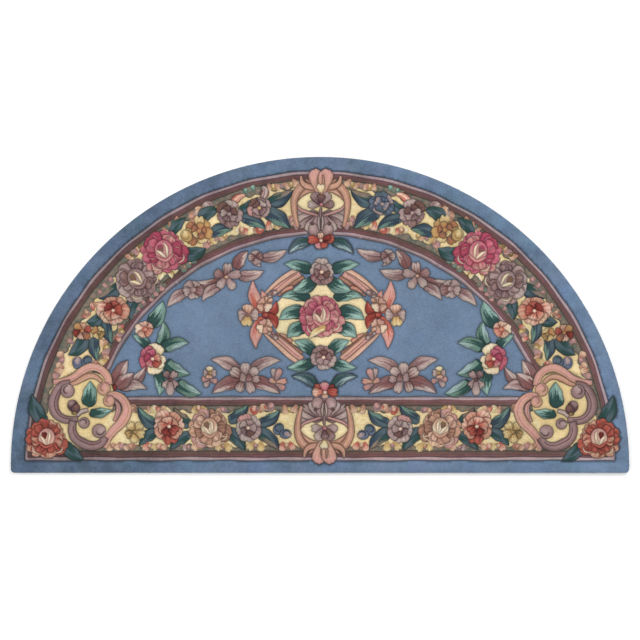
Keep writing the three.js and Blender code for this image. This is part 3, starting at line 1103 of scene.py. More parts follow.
def carved_heights(drawing, places, triangles, owner):
    """The height of the pile at each place, and how deep in a groove it lies, from 0 to 1."""
    rim_away = np.minimum(
        ARC_RADIUS - np.hypot(places[:, 0] - MIDDLE, places[:, 1] - ARC_ROW),
        STRAIGHT_ROW - places[:, 1],
    ).clip(0) * SQUARE
    edges, depth = carved_edges(drawing, places, triangles, owner, rim_away)
    spots = on_rug(places)
    away, depth = nearest_grooves(spots, spots[edges], depth)
    groove = depth * np.exp(-((away / GROOVE_REACH) ** GROOVE_STEEPNESS))
    patch_of = np.zeros(len(places), int)
    patch_of[triangles.ravel()] = np.repeat(owner, 3)
    rise = np.array([part.rise for part in drawing])[patch_of]
    swell = rise * MILLIMETRE * (1 - np.exp(-away / RISE_REACH))
    rolling = sum(
        np.sin(spots[:, axis] * pace + sway * np.sin(spots[:, 1 - axis] * sway_pace))
        for axis, pace, sway, sway_pace in ROLLING_WAVES
    )
    rounding = RIM_DROP * (1 - np.sqrt(1 - (1 - (rim_away / RIM_ROUND).clip(0, 1)) ** 2))
    return PILE_TOP - GROOVE_DEPTH * groove + swell + UNEVENNESS * rolling - rounding, groove


def along_and_across(places, part):
    """How far along its patch each place lies, and how far to the side, from -1 to 1."""
    start, run = part.spine[:-1], np.diff(part.spine, axis=0)
    share = ((places[:, None] - start) * run).sum(axis=2) / (run**2).sum(axis=1)
    share = share.clip(0, 1)
    offset = places[:, None] - start - share[..., None] * run
    away = (offset**2).sum(axis=2)
    nearest = away.argmin(axis=1)
    row = np.arange(len(places))
    length = shares(part.spine)
    along = length[nearest] + share[row, nearest] * np.diff(length)[nearest]
    side = run[nearest, 0] * offset[row, nearest, 1] - run[nearest, 1] * offset[row, nearest, 0]
    return along, np.sign(side) * np.sqrt(away[row, nearest]) / part.half


def linear(dye):
    """A dye's red, green and blue as amounts of light."""
    share = np.array(DYES[dye]) / 255
    return np.where(share <= 0.04045, share / 12.92, ((share + 0.055) / 1.055) ** 2.4)


def note(mesh, name, kind, domain, values):
    """Writes numbers on a mesh under a name, for the wool to read."""
    field = "value" if kind == "FLOAT" else "vector"
    values = np.asarray(values, np.float32).ravel()
    mesh.attributes.new(name, kind, domain).data.foreach_set(field, values)


def shading(mesh, drawing, places, triangles, owner, groove):
    """What the wool reads from the mesh: the dyes, the place within each patch and the grooves."""
    rest = len(mesh.polygons) - len(triangles)
    wall_dye = linear("band blue")
    for end, name in enumerate(("root_dye", "tip_dye")):
        dyes = [linear(part.dyes[end]) if part.dyes else wall_dye for part in drawing]
        values = np.concatenate([np.array(dyes)[owner], np.tile(wall_dye, (rest, 1))])
        note(mesh, name, "FLOAT_VECTOR", "FACE", values)
    styles = np.array([STYLES.index(part.style) for part in drawing])[owner]
    note(mesh, "style", "FLOAT", "FACE", np.concatenate([styles, np.zeros(rest)]))
    corners = places[triangles].reshape(-1, 2)
    corner_owner = np.repeat(owner, 3)
    order = np.argsort(corner_owner, kind="stable")
    ends = np.searchsorted(corner_owner[order], np.arange(len(drawing) + 1))
    place = np.zeros((len(mesh.loops), 3), np.float32)
    for number, part in enumerate(drawing):
        mine = order[ends[number] : ends[number + 1]]
        if len(mine) and part.style != "ground":
            place[mine, 0], place[mine, 1] = along_and_across(corners[mine], part)
            place[mine, 2] = (number * LOT_STEP) % 1
    note(mesh, "place", "FLOAT_VECTOR", "CORNER", place)
    below = np.zeros(len(mesh.vertices) - len(groove))
    note(mesh, "groove", "FLOAT", "POINT", np.concatenate([groove, below]))


# The flat map of a piece: its top is cut into square tiles, in metres, each with a margin for the
# faces that cross its edge. Its hidden walls and foot share a strip of the map beside them: every
# wall lies on the same patch of it, and the foot is drawn small, from one corner.
TILE = 0.035
TILE_MARGIN = 0.006
STRIP = 0.05
WALL_ON_MAP = ((0.2, 0.99), (0.24, 0.99), (0.24, 0.96), (0.2, 0.96))
FOOT_ON_MAP = (0.01, 0.955)
FOOT_WIDTH_ON_MAP = 0.08


def corner_spots(mesh):
    """The place in metres of each corner of each face, in the mesh's own order."""
    corner = np.zeros(len(mesh.loops), np.int32)
    mesh.loops.foreach_get("vertex_index", corner)
    spots = np.zeros(3 * len(mesh.vertices), np.float32)
    mesh.vertices.foreach_get("co", spots)
    return spots.reshape(-1, 3)[corner].astype(float)


def keep_map(mesh, places):
    """Keeps where each corner of each face lies on the flat map."""
    mesh.uv_layers.new(name="OFBake").data.foreach_set("uv", places.astype(np.float32).ravel())


def lay_out(mesh, tops, walls):
    """Lays a piece out flat: its first faces are its top, the next its walls and the rest its foot."""
    spots = corner_spots(mesh)[:, :2]
    top = spots[: 3 * tops].reshape(-1, 3, 2)
    tile = np.floor(top.mean(axis=1) / TILE)
    tiles, number = np.unique(tile, axis=0, return_inverse=True)
    number = number.ravel()
    columns = math.ceil(math.sqrt(len(tiles)))
    pitch = (1 - STRIP) / columns
    inside = (top - tile[:, None] * TILE + TILE_MARGIN) / (TILE + 2 * TILE_MARGIN)
    start = np.stack([number % columns, number // columns], axis=1)
    places = np.zeros((len(spots), 2))
    places[: 3 * tops] = ((start[:, None] + inside) * pitch).reshape(-1, 2)
    foot = 3 * tops + 4 * walls
    places[3 * tops : foot] = np.tile(WALL_ON_MAP, (walls, 1))
    share = (spots[foot:] - np.array(cad_box[0][:2])) / RUG_WIDTH
    places[foot:] = share * FOOT_WIDTH_ON_MAP + FOOT_ON_MAP
    keep_map(mesh, places)


def open_sides(triangles):
    """The sides with no triangle beyond them, each from one point of the net to the next."""
    edges, beside = edge_table(triangles)
    open_edges = set(map(tuple, edges[beside[:, 1] < 0].tolist()))
    around = [pair for face in triangles.tolist() for pair in zip(face, face[1:] + face[:1])]
    return np.array([pair for pair in around if tuple(sorted(pair)) in open_edges])


def filled(corners, sides):
    """Triangles over all that closed sides go round, with their corners' numbers."""
    net = [Vector(corner) for corner in corners]
    found = delaunay_2d_cdt(net, sides.tolist(), [], 0, LEAST_GAP_METRES, True)
    source = [origins[0] for origins in found[3]]
    faces = np.array([[source[corner] for corner in face] for face in found[2]])
    return faces[within(corners[faces].mean(axis=1), corners[sides[:, 0]], corners[sides[:, 1]])]


def pile_piece(name, drawing, material):
    """All that a drawing shows as one closed body: pile on top, its sides, and its foot on the cloth."""
    places, triangles, owner = net_over(drawing)
    height, groove = carved_heights(drawing, places, triangles, owner)
    around = open_sides(triangles)
    rim = np.unique(around)
    foot_of = np.full(len(places), -1)
    foot_of[rim] = np.arange(len(rim))
    # a mesh keeps its places as 32-bit numbers, and the foot is cut out by the same ones
    spots = on_rug(places).astype(np.float32).astype(float)
    low = spots[rim]
    foot = len(places)
    below = [[foot + corner for corner in reversed(face)] for face in filled(low, foot_of[around]).tolist()]
    walls = [(b, a, foot + foot_of[a], foot + foot_of[b]) for a, b in around.tolist()]
    top = np.column_stack([spots, height])
    bottom = np.column_stack([low, np.full(len(rim), CLOTH_TOP)])
    mesh = bpy.data.meshes.new(name)
    mesh.from_pydata(np.concatenate([top, bottom]).tolist(), [], triangles.tolist() + walls + below)
    smooth = np.arange(len(mesh.polygons)) < len(triangles)
    mesh.polygons.foreach_set("use_smooth", smooth)
    shading(mesh, drawing, places, triangles, owner, groove)
    lay_out(mesh, len(triangles), len(walls))
    mesh.materials.append(material)
    piece = placed(name, mesh)
    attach(piece, "root")
    tufted.append(places[around])


# The wool's patterns, by their repeats in a metre, and the relief of its tufts in metres.
TUFTS = 520.0
FRAYING = 420.0
FLECKS = 125.0
FIBRES = 900.0
RUFFLES = 120.0
TUFT_RELIEF = 0.0011

# The clouds in the dye: their repeats in a metre, their detail and their strength. The first three
# change its whole tone, the next only its red and the last only its blue.
TONE_CLOUDS = ((38.0, 3.0, 0.3), (9.0, 2.0, 0.34), (130.0, 2.0, 0.12))
RED_CLOUD = (17.0, 2.0, 0.16)
BLUE_CLOUD = (23.0, 2.0, 0.14)

# Painted light: how much paler the wool is painted for each metre to the right and each metre down, and how
# much painted shade darkens it in the lower left corner, whose shade comes in between these distances in
# metres.
PAINTED_LIGHT_RIGHT = 0.24
PAINTED_LIGHT_DOWN = 0.2
PAINTED_CORNER_SHADE = 0.17
CORNER_LEFT = (0.2, 0.45)
CORNER_DOWN = (0.2, 0.32)

# The wool's tone where nothing changes it, the painted shade along a petal's crease lines, and the painted
# shade in a groove, which also stands for the darker yarn of the carved outlines.
PLAIN_TONE = 0.85
PAINTED_CREASE_SHADE = 0.2
GROOVE_OUTLINE_AND_PAINTED_SHADE = 0.7


def carved_wool(name, cloudiness, painted_light_slope):
    """Sheared wool pile: each patch shades from its root dye to its tip dye, tuft by tuft.

    The dye is cloudy. Painted shade darkens it in the grooves and along crease lines in the petals. Where a
    painted light slope is asked for, the wool is painted paler towards the rug's right and lower side, and
    painted shade darkens its lower left corner.
    """
    wool = Finish(name, 0.92, 0.12)

    def read(name, output):
        return wool.node("ShaderNodeAttribute", {"attribute_name": name}, output, {})

    def is_style(name):
        return style.math("COMPARE", float(STYLES.index(name)), 0.4)

    def cloud(scale, detail, strength):
        return (wool.noise(here, scale, detail) - 0.5) * (strength * cloudiness)

    def ripple(pace, shift, strength):
        """Ripples across a patch, set to the side by its lot number."""
        return (side * pace + lot * shift).math("COSINE") * strength

    along, side, lot = read("place", "Vector").parts()
    style = read("style", "Fac")
    groove = read("groove", "Fac")
    here = wool.here()
    right, up, _ = here.parts()
    tufts = wool.node("ShaderNodeTexVoronoi", {}, "Distance", {"Vector": here, "Scale": TUFTS})
    tuft_tone, _, _ = Flow(wool, tufts.socket.node.outputs["Color"]).parts()
    ragged = (wool.noise(here, FRAYING, 1.0) - 0.5) * 0.22 + (tuft_tone - 0.5) * 0.12

    # for each style, how far the shading has come from the root dye to the tip dye
    streaks = ripple(9.0, 6.0, 0.1) + ripple(23.0, 17.0, 0.06)
    folds = ripple(11.0, 6.0, 0.15) + ripple(27.0, 17.0, 0.07)
    edge = side.math("ABSOLUTE")
    shades = {
        "leaf": (along - 0.58 - streaks + side * 0.1 + side * side * 0.32 + ragged).rising(-0.17, 0.17),
        "petal": (along + folds - edge * 0.12 + ragged).rising(0.15, 0.95),
        "band": (side * 3.2 - 0.5).math("COSINE") * 0.5 + 0.5 + ragged,
        "cup": (1 - along + (side * 6.0).math("COSINE") * 0.2 + ragged).rising(0.1, 0.9),
        "bead": (along + (side * 3.0).math("COSINE") * 0.3 + ragged).rising(0.4, 1.1),
        "ground": (wool.noise(here, FLECKS, 3.0) + ragged * 0.5).rising(0.4, 0.6),
    }
    shade = sum(value * is_style(name) for name, value in shades.items())
    dyed = wool.blend(shade.clamped(), read("root_dye", "Vector"), read("tip_dye", "Vector"))

    tone = PLAIN_TONE + (tuft_tone - 0.5) * 0.2
    for row in TONE_CLOUDS:
        tone = tone + cloud(*row)
    # painted light: paler to the right and down, and painted shade in the lower left corner
    tone = tone + right * (PAINTED_LIGHT_RIGHT * painted_light_slope) - up * (PAINTED_LIGHT_DOWN * painted_light_slope)
    painted_corner = (right * -1).rising(*CORNER_LEFT) * (up * -1).rising(*CORNER_DOWN)
    tone = tone - painted_corner * (PAINTED_CORNER_SHADE * painted_light_slope)
    # painted shade: dark crease lines along the petals, where the pile itself has no crease
    painted_creases = (side * 15.0 + lot * 21.0 + ragged * 4.0).math("COSINE").rising(0.7, 1.0)
    tone = tone * (1 - painted_creases * along.rising(0.1, 0.6) * is_style("petal") * PAINTED_CREASE_SHADE)
    # painted shade in the grooves, which also stands for the darker yarn that outlines the carved motifs
    tone = tone * (1 - groove * GROOVE_OUTLINE_AND_PAINTED_SHADE)
    tones = {0: tone * (cloud(*RED_CLOUD) + 1), 1: tone, 2: tone * (cloud(*BLUE_CLOUD) + 1)}
    tones = wool.node("ShaderNodeCombineXYZ", {}, 0, tones)
    shaded = wool.node("ShaderNodeVectorMath", {"operation": "MULTIPLY"}, 0, {0: dyed, 1: tones})
    height = tufts * -0.6 + wool.noise(here, FIBRES, 1.0) * 0.5 + wool.noise(here, RUFFLES, 2.0) * 0.5
    wool.surface(shaded, height, TUFT_RELIEF)
    return wool.material


wool = carved_wool("carved_wool", 1.0, 0.0)
pile_piece("pile_straight_border", straight, wool)


# The arc border: the same carved wool pile, tufted round the curve of the half-moon.
# It carries roses, smaller blossoms and leaves over a cream ground, and a cartouche at its middle.
arc = border_grounds()
arc += both_sides(each(frill, (
    # the places a frill passes through, its width, and the shades of its curls
    (((61, 353), (61, 362), (58, 372), (55, 378)), 8, ("sand", "pink", "sand")),
    (((72, 340), (67, 347)), 6, ("pink", "grey green")),
    (((92, 364), (98, 363)), 6, ("sand", "pale coral")),
    (((103, 340), (106, 347), (106, 356), (102, 364)), 8, ("sand", "gold", "pink")),
    (((84, 318), (90, 309), (98, 303)), 7, ("pale coral", "sand", "grey green")),
    (((121, 325), (121, 333), (117, 341)), 7, ("pale coral", "gold", "pink")),
    (((98, 297), (104, 288), (112, 279)), 6, ("grey green", "pink")),
    (((130, 318), (137, 309), (145, 302)), 6, ("grey green", "pink")),
    (((128, 258), (136, 251), (143, 246)), 7, ("sand", "old gold", "pink")),
    (((150, 300), (158, 291), (166, 284)), 6, ("pink", "grey green")),
    (((182, 270), (190, 263), (198, 257)), 6, ("grey green", "sand")),
    (((164, 231), (172, 224), (178, 219)), 6.5, ("sand", "grey green")),
    (((194, 222), (193, 214), (200, 210), (210, 204)), 8, ("sand", "peach", "pale mauve")),
    (((204, 245), (211, 241), (220, 237), (227, 236)), 7.5, ("pink", "sand", "gold")),
    (((236, 228), (244, 231), (254, 231), (262, 229)), 7.5, ("cream", "sand", "pale coral")),
    (((240, 193), (248, 190), (255, 187)), 6, ("grey green", "pale green")),
    (((267, 226), (275, 225), (283, 225)), 7.5, ("pale coral", "cream", "gold")),
    (((267, 187), (275, 187), (283, 186), (290, 185), (297, 182)), 7, ("sand", "gold", "sand", "mauve")),
    (((289, 216), (292, 222), (298, 227)), 6.5, ("sand", "pink")),
)), 321.6)
arc += both_sides(each(leaf, (
    # base, tip, width, kind, bend
    ((86, 336), (68, 355), 14.5, "green leaf", -0.12),
    ((95, 337), (97, 361), 11.5, "blue leaf", 0.08),
    ((105, 315), (86, 322), 13.5, "green leaf", -0.14),
    ((107, 319), (112, 344), 11, "blue leaf", 0.1),
    ((136, 297), (130, 320), 12, "green leaf", 0.1),
    ((121, 284), (98, 298), 14, "dusky leaf", -0.1),
    ((171, 234), (186, 218), 11, "green leaf", -0.08),
    ((181, 254), (206, 248), 15, "green leaf", 0.12),
    ((199, 219), (219, 210), 13.5, "green leaf", -0.1),
    ((209, 235), (233, 229), 13, "blue leaf", -0.1),
    ((238, 212), (258, 197), 10.5, "green leaf", 0.08),
    ((241, 218), (266, 229), 12.5, "blue leaf", -0.1),
    ((266, 204), (293, 190), 14.5, "dusky leaf", 0.08),
    ((264, 211), (290, 229), 16, "blue leaf", -0.08),
)), 321.8)
arc += both_sides(
    hook((77.5, 363), 6.6, 100, "blue", "steel", 200, 0.8)
    + hook((87, 361.5), 6.2, 70, "slate blue", "ink", 200, 0.85),
    322.5,
)
arc += both_sides(
    blossom((82, 331), 9.5, 20, ("red", "peach", "amber", "deep red", "shell", "rust"), "amber", 0.9)
    + blossom((98.5, 332.5), 6.8, 60, ("gold", "amber", "gold", "old gold"), "old gold", 0.95, 0.3),
    323.2,
    2.0,
)
arc += both_sides(
    blossom(
        (113, 310.5), 15.5, 48,
        ("coral", "coral", "pale coral", "sand", "pale coral", "coral"),
        "pale shell", 1.05, 0.12,
        ("dark red", "deep red", "coral", "pale coral", "red"),
    ),
    323.8,
    0.5,
)
arc += both_sides(rose((137, 279), 22, 40, "peony"), 321.5, 2.0)
arc += both_sides(
    each(leaf, (
        ((166, 267), (160, 281), 9, "flame", 0.1),
        ((167, 268), (179, 270), 7, "flame", 0.2),
        ((168, 270), (172, 279), 6, "flame", -0.1),
    ))
    + rose((164, 251), 22.5, 18, "crimson rose"),
    321.0,
    1.0,
)
arc += both_sides(
    blossom((198, 231.5), 14.5, 40, ("amber", "gold", "rust", "gold", "rust", "gold", "amber"), "rust")
    + blossom((199, 231), 8, 10, ("rust", "amber", "rust", "gold", "rust"), "amber", 0.9, 0.3)
    + hook((186.5, 236), 6.6, 130, "gold", "gold", 220, 0.85),
    322.0,
    -1.0,
)
arc += both_sides(
    scroll(
        ((229, 205), (234, 201), (239, 197), (245, 195)),
        7.5, "pale coral", "coral", (0.6, 1.1, 0.4), (0.3,),
    )
    + blossom(
        (229, 214), 13.5, 70,
        ("pale mauve", "umber", "dusk", "brown mauve", "mauve"),
        "pale mauve", 0.95, 0.16,
        ("umber", "pale mauve", "dusk", "mauve", "umber"),
    ),
    320.8,
    -1.0,
)
arc += scroll(((261, 201), (264, 195), (265, 190), (262, 187)), 8, "pale russet", "plum", (0.5, 1.1, 0.5))
arc += blossom(
    (259, 208), 11.5, 20,
    ("mauve", "dusk", "umber", "pink", "brown mauve", "mauve"),
    "gold", 1.0, 0.17,
    ("pale mauve", "umber", "mauve", "dusk"),
)
arc += blossom(
    (382, 204), 12.5, 30,
    ("blue", "slate blue", "dark blue", "blue", "dark blue"),
    "pale mauve", 1.0, 0.16,
    ("dark blue", "blue", "slate blue", "blue"),
)
arc += cartouche((320.8, 203), -1, ("pale mauve", "brown mauve", "dusk", "mauve", "umber"))
arc += both_sides(leaf((311, 242), (288.5, 253.5), 10.5, "slate leaf", 0.15), 320.8)
arc += petals_from((321, 240), (
    ((317, 248.5), 8, "bright pink"),
    ((325.5, 248), 7.5, "red"),
    ((307.5, 239.5), 9.5, "red"),
    ((334.5, 238.5), 9.5, "dark red"),
    ((331, 236.5), 6, "deep red"),
    ((320.3, 232.5), 7, "shell"),
))
arc.append(oval((321, 240.5), 1.8, "pale shell"))

pile_piece("pile_arc_border", arc, wool)


# The field: plain blue wool pile inside the borders, with a medallion, ribbons and sprigs in it.
# It is tufted into the same cloth and carved in the same way.
field = [ground(by_hand(half_moon(78.2, 76.3), 0.25, 39.0, 3.0), "field blue")]

spray = each(leaf, (
    # base, tip, width, kind, bend
    ((149, 348), (132, 335), 10, "field leaf", 0.1),
    ((158, 347), (163, 321), 12, "bright leaf", 0.14),
    ((148, 327), (163, 301), 15, "field leaf", 0.1),
    ((162, 350), (189, 343), 13, "bright leaf", -0.12),
    ((164, 361), (190, 374), 14.5, "bright leaf", 0.12),
    ((157, 371), (159, 396), 12, "field leaf", -0.12),
    ((175, 381), (202, 394), 13.5, "bright leaf", 0.1),
))
spray += blossom(
    (144.5, 329.5), 9, 30,
    ("pale coral", "shell", "pale shell", "shell", "coral"),
    "coral", 1.0, 0.3,
)
spray += petals_from((170.3, 379.5), (
    ((164.5, 371.5), 7.5, "dusk"),
    ((176, 371.5), 7.5, "mauve"),
    ((163.5, 388), 8, "pale mauve"),
    ((177, 387), 8, "mauve"),
    ((170, 396), 8.5, "pale mauve"),
))
spray.append(oval((170.3, 379.8), 2.0, "umber"))
spray += blossom(
    (152.5, 359), 14.5, 60,
    ("cream", "bright magenta", "crimson", "cream", "cream"),
    "pale shell", 0.95, 0.13,
    ("bright magenta", "magenta", "pale crimson", "red", "coral"),
)
field += both_sides(spray, 323.2)

field += both_sides(
    each(leaf, (
        ((117, 388), (128, 360), 15, "russet mallow", -0.1),
        ((118, 388), (146, 366), 12, "russet mallow", 0.15),
        ((120, 389), (147, 389), 10.5, "mallow", -0.15),
        ((116, 388), (134, 373), 13, "russet mallow", 0.0),
    ))
    + [oval((112, 388), 4.6, "deep red", 0, 0.9)],
    325.0,
)

upper_sprig = each(leaf, (
    ((236, 270), (248, 251), 12, "russet mallow", -0.1),
    ((237, 275), (264, 271), 11.5, "mallow", 0.1),
    ((219, 280), (195, 281.5), 9.5, "russet mallow", -0.16),
    ((221, 286), (202, 301), 10.5, "mallow", 0.12),
    ((190, 291), (167, 307), 11.5, "mallow", 0.1),
    ((252, 254), (261, 267), 7, "mallow", 0.1),
    ((260, 257.5), (287, 250), 11, "mallow", 0.1),
))
upper_sprig += blossom(
    (193, 290), 10, 60,
    ("pale russet", "mauve", "pale mauve", "pale mauve", "russet"),
    "mauve", 1.0, 0.3,
)
upper_sprig += petals_from((226, 277), (
    ((214, 272), 10, "russet"),
    ((228, 263), 10, "pale russet"),
    ((241, 273), 9.5, "mauve"),
    ((234, 289.5), 9, "pale mauve"),
    ((218, 288), 9, "pale mauve"),
))
upper_sprig.append(oval((226, 277), 2.2, "shell"))
upper_sprig += blossom((256, 257), 7.5, 100, ("pale mauve", "pale russet", "mauve", "russet"), None, 0.8)
field += both_sides(upper_sprig, 321.8, -1.0)

lower_sprig = each(leaf, (
    ((240, 372), (211, 359.5), 13, "mallow", 0.1),
    ((250, 372), (281, 360.5), 11.5, "mallow", -0.12),
    ((242, 381), (212, 393.5), 14, "russet mallow", 0.1),
    ((249, 381), (280, 394), 13.5, "russet mallow", -0.1),
))
for root, tip, width, shade in (
    # the petals of the two buds beside it, then of the flower
    ((210, 380), (201.5, 378.5), 6.5, "pink"),
    ((210, 381), (204, 386.5), 6, "pale mauve"),
    ((210, 380), (217.5, 381.5), 6, "pink"),
    ((275.5, 382), (273, 368), 6, "pale mauve"),
    ((275.5, 382), (280.5, 368.5), 7, "pink"),
    ((275.5, 383), (287, 380.5), 6.5, "rosy"),
    ((275.5, 384), (285, 389), 6.5, "pink"),
    ((275.5, 383), (269, 379), 5.5, "rosy"),
    ((245, 378), (245.5, 362.5), 10.5, "pale mauve"),
    ((244, 378), (230.5, 369.5), 11, "pale russet"),
    ((247, 378), (258, 368.5), 9.5, "pale mauve"),
    ((250, 380), (260, 378.5), 8, "mauve"),
    ((243, 379), (238, 392), 9.5, "pale russet"),
    ((247, 379), (252.5, 393), 9.5, "pale mauve"),
    ((242, 373), (244, 382), 8, "mauve"),
    ((249, 374), (249, 382), 7, "russet"),
):
    lower_sprig.append(petal(root, tip, width, shade))
lower_sprig += blossom(
    (209.5, 373), 6.3, 90,
    ("cream", "pale mauve", "shell", "pale mauve"),
    "old gold", 0.9, 0.36,
)
field += both_sides(lower_sprig, 324.4)

field.append(oval((321.8, 317.5), 50, ("pale cream", "pale cream"), 0, 0.66, "ground", 0.0))
medallion = []
for strand, width, shade, line in (
    # the strands of the upper and the lower ribbon, from the leaves to the bow
    # the places each one passes through, its width, its shade and the line along it
    (((304, 277), (296, 282), (287, 289), (278, 296)), 5.5, "clay", None),
    (((300, 273), (291, 278), (281, 286), (273, 293), (266, 299)), 8.5, "rosy", "bark"),
    (((297, 270), (289, 274), (279, 281), (271, 288), (264, 295)), 5.0, "soft peach", "clay"),
    (((293, 287), (287, 289), (281, 293)), 4.5, "coral", None),
    (((302, 354), (292, 347), (283, 338), (276, 333)), 5.5, "clay", None),
    (((302, 360), (292, 352), (282, 343), (273, 335), (266, 330)), 8.5, "rosy", "bark"),
    (((297, 362), (289, 356), (279, 347), (270, 339), (263, 332)), 5.0, "soft peach", "clay"),
    (((292, 342), (286, 337), (280, 334)), 4.5, "coral", None),
):
    medallion += scroll(strand, width, shade, line, (0.9, 1.0, 0.8, 0.4), (0.1,))
for spot, turn in (((274, 293), 40), ((269, 298), 70), ((275, 337), 320), ((269, 332), 290)):
    medallion += hook(spot, 3.6, turn, "pale mauve", "plum", 230, 0.85)
medallion += each(leaf, (
    # the bow at each side: two tails, two loops and the pale ruffles between
    ((264, 313), (253, 280), 12.5, "bow", -0.12),
    ((264, 317), (256, 349), 12.5, "bow", 0.12),
    ((264, 303), (261, 290), 6, "bow", 0.1),
    ((265, 314), (276, 301), 9.5, "red loop", 0.25),
    ((265, 316), (276, 329), 9.5, "red loop", -0.25),
))
medallion += blossom((264.5, 304.5), 7.6, 45, ("shell", "rosy", "shell", "pale shell"), "clay", 0.9, 0.2)
medallion += blossom((264.5, 326), 7.6, 30, ("shell", "rosy", "pale shell", "rosy"), "clay", 0.9, 0.2)
medallion.append(oval((270, 300.5), 3.2, "shell", 30, 0.8))
medallion.append(oval((270, 329.5), 3.2, "shell", 150, 0.8))
medallion.append(oval((265, 315), 3.4, "red", 0, 0.9))
medallion += blossom(
    (247.5, 315), 10.5, 0,
    ("pale mauve", "shell", "pale mauve", "gold"),
    "brown mauve", 0.85,
)
medallion += each(leaf, (
    ((310, 299), (281, 297), 12, "field leaf", 0.12),
    ((306, 313), (279, 320), 14.5, "field leaf", 0.15),
    ((308, 326), (287, 338), 15, "field leaf", 0.12),
    ((313, 271), (284, 264), 12, "field leaf", 0.06),
    ((316, 278), (292, 291), 14, "field leaf", -0.1),
    ((315, 361), (287, 368), 12, "field leaf", -0.06),
    ((315, 354), (294, 341), 13, "field leaf", 0.1),
))
field += both_sides(medallion, 321.8)
field += rose((321.5, 316), 22, 5, "pink rose")
field += leaf((327, 327), (308, 340), 7, "flame", 0.1)
field += blossom(
    (321.6, 272), 13, 90,
    ("pale mauve", "pale mauve", "wine", "russet", "pale mauve"),
    "pale shell", 1.0, 0.15,
    ("mauve", "russet", "russet", "umber", "mauve"),
)
field += blossom(
    (323.5, 357.5), 12.5, -90,
    ("pale mauve", "pale mauve", "russet", "brown mauve", "mauve"),
    "pale shell", 1.0, 0.15,
    ("mauve", "russet", "umber", "russet", "mauve"),
)

pile_piece("pile_field", field, wool)


# The border lines: narrow stripes of plain wool pile along both sides of the borders.
# Their rose, dark red and brown yarns were dyed in small lots, so the stripes are streaky. Their wool is
# also painted paler towards the rug's right and lower side, with painted shade in the lower left corner.
LINE_SWELL = 0.3

lines = []
for dye, arc_inset, straight_inset, wave, start, cut in (
    # dye, inset from the arc and from the straight edge, how the line wavers, and its groove
    ("rose line", 14.5, 12.5, 47.0, 0.0, 1.0),
    ("stripe red", 17.6, 15.8, 47.0, 1.0, 1.0),
    ("stripe brown", 20.2, 18.5, 21.0, 4.0, 0.45),
    ("stripe red", 71.2, 70.0, 23.0, 5.0, 0.45),
    ("rose line", 74.4, 73.1, 39.0, 2.0, 1.0),
):
    outline = by_hand(half_moon(arc_inset, straight_inset), LINE_SWELL, wave, start)
    lines.append(ground(outline, dye)._replace(cut=cut))

# streaky yarn that also carries painted light: paler to the right and down, with painted shade in the lower
# left corner
streaky_wool_and_painted_light = carved_wool("streaky_wool_and_painted_light", 2.0, 1.0)
pile_piece("pile_border_lines", lines, streaky_wool_and_painted_light)


# The outer band: plain blue wool pile right round the rug, of the same streaky yarn, with the same painted
# light and shade.
# It is tufted last and sheared down to a rounded edge.
band = [ground(half_moon(0, 0, CORNER_ROUND), "band blue")]

pile_piece("pile_outer_band", band, streaky_wool_and_painted_light)


# The rim: the outermost row of tufts, whose cut yarn ends stand a little proud of the sides.
# They are the same blue wool as the band and hold in the edge of the foundation cloth.
RIM_INSET = 0.55
RIM_SIZES = {
    "Tuft spacing": 0.0027,
    "Tuft height": 0.0078,
    "Yarn radius": 0.0011,
    "Outward bow": 0.0012,
    "Greatest lean": math.radians(13),
}
RIM_SEED = 7
FIBRE_RELIEF = 0.0006
TUFT_TAPER = 0.45
SMALLEST_TUFT = 0.82
LARGEST_TUFT = 1.12
# the rim wool's darker blue, reached through random tone and through painted shade low on the tufts, and
# its paler blue
DARK_SHADED_BLUE = (0.058, 0.086, 0.135, 1)
PALE_BLUE = (0.15, 0.205, 0.29, 1)


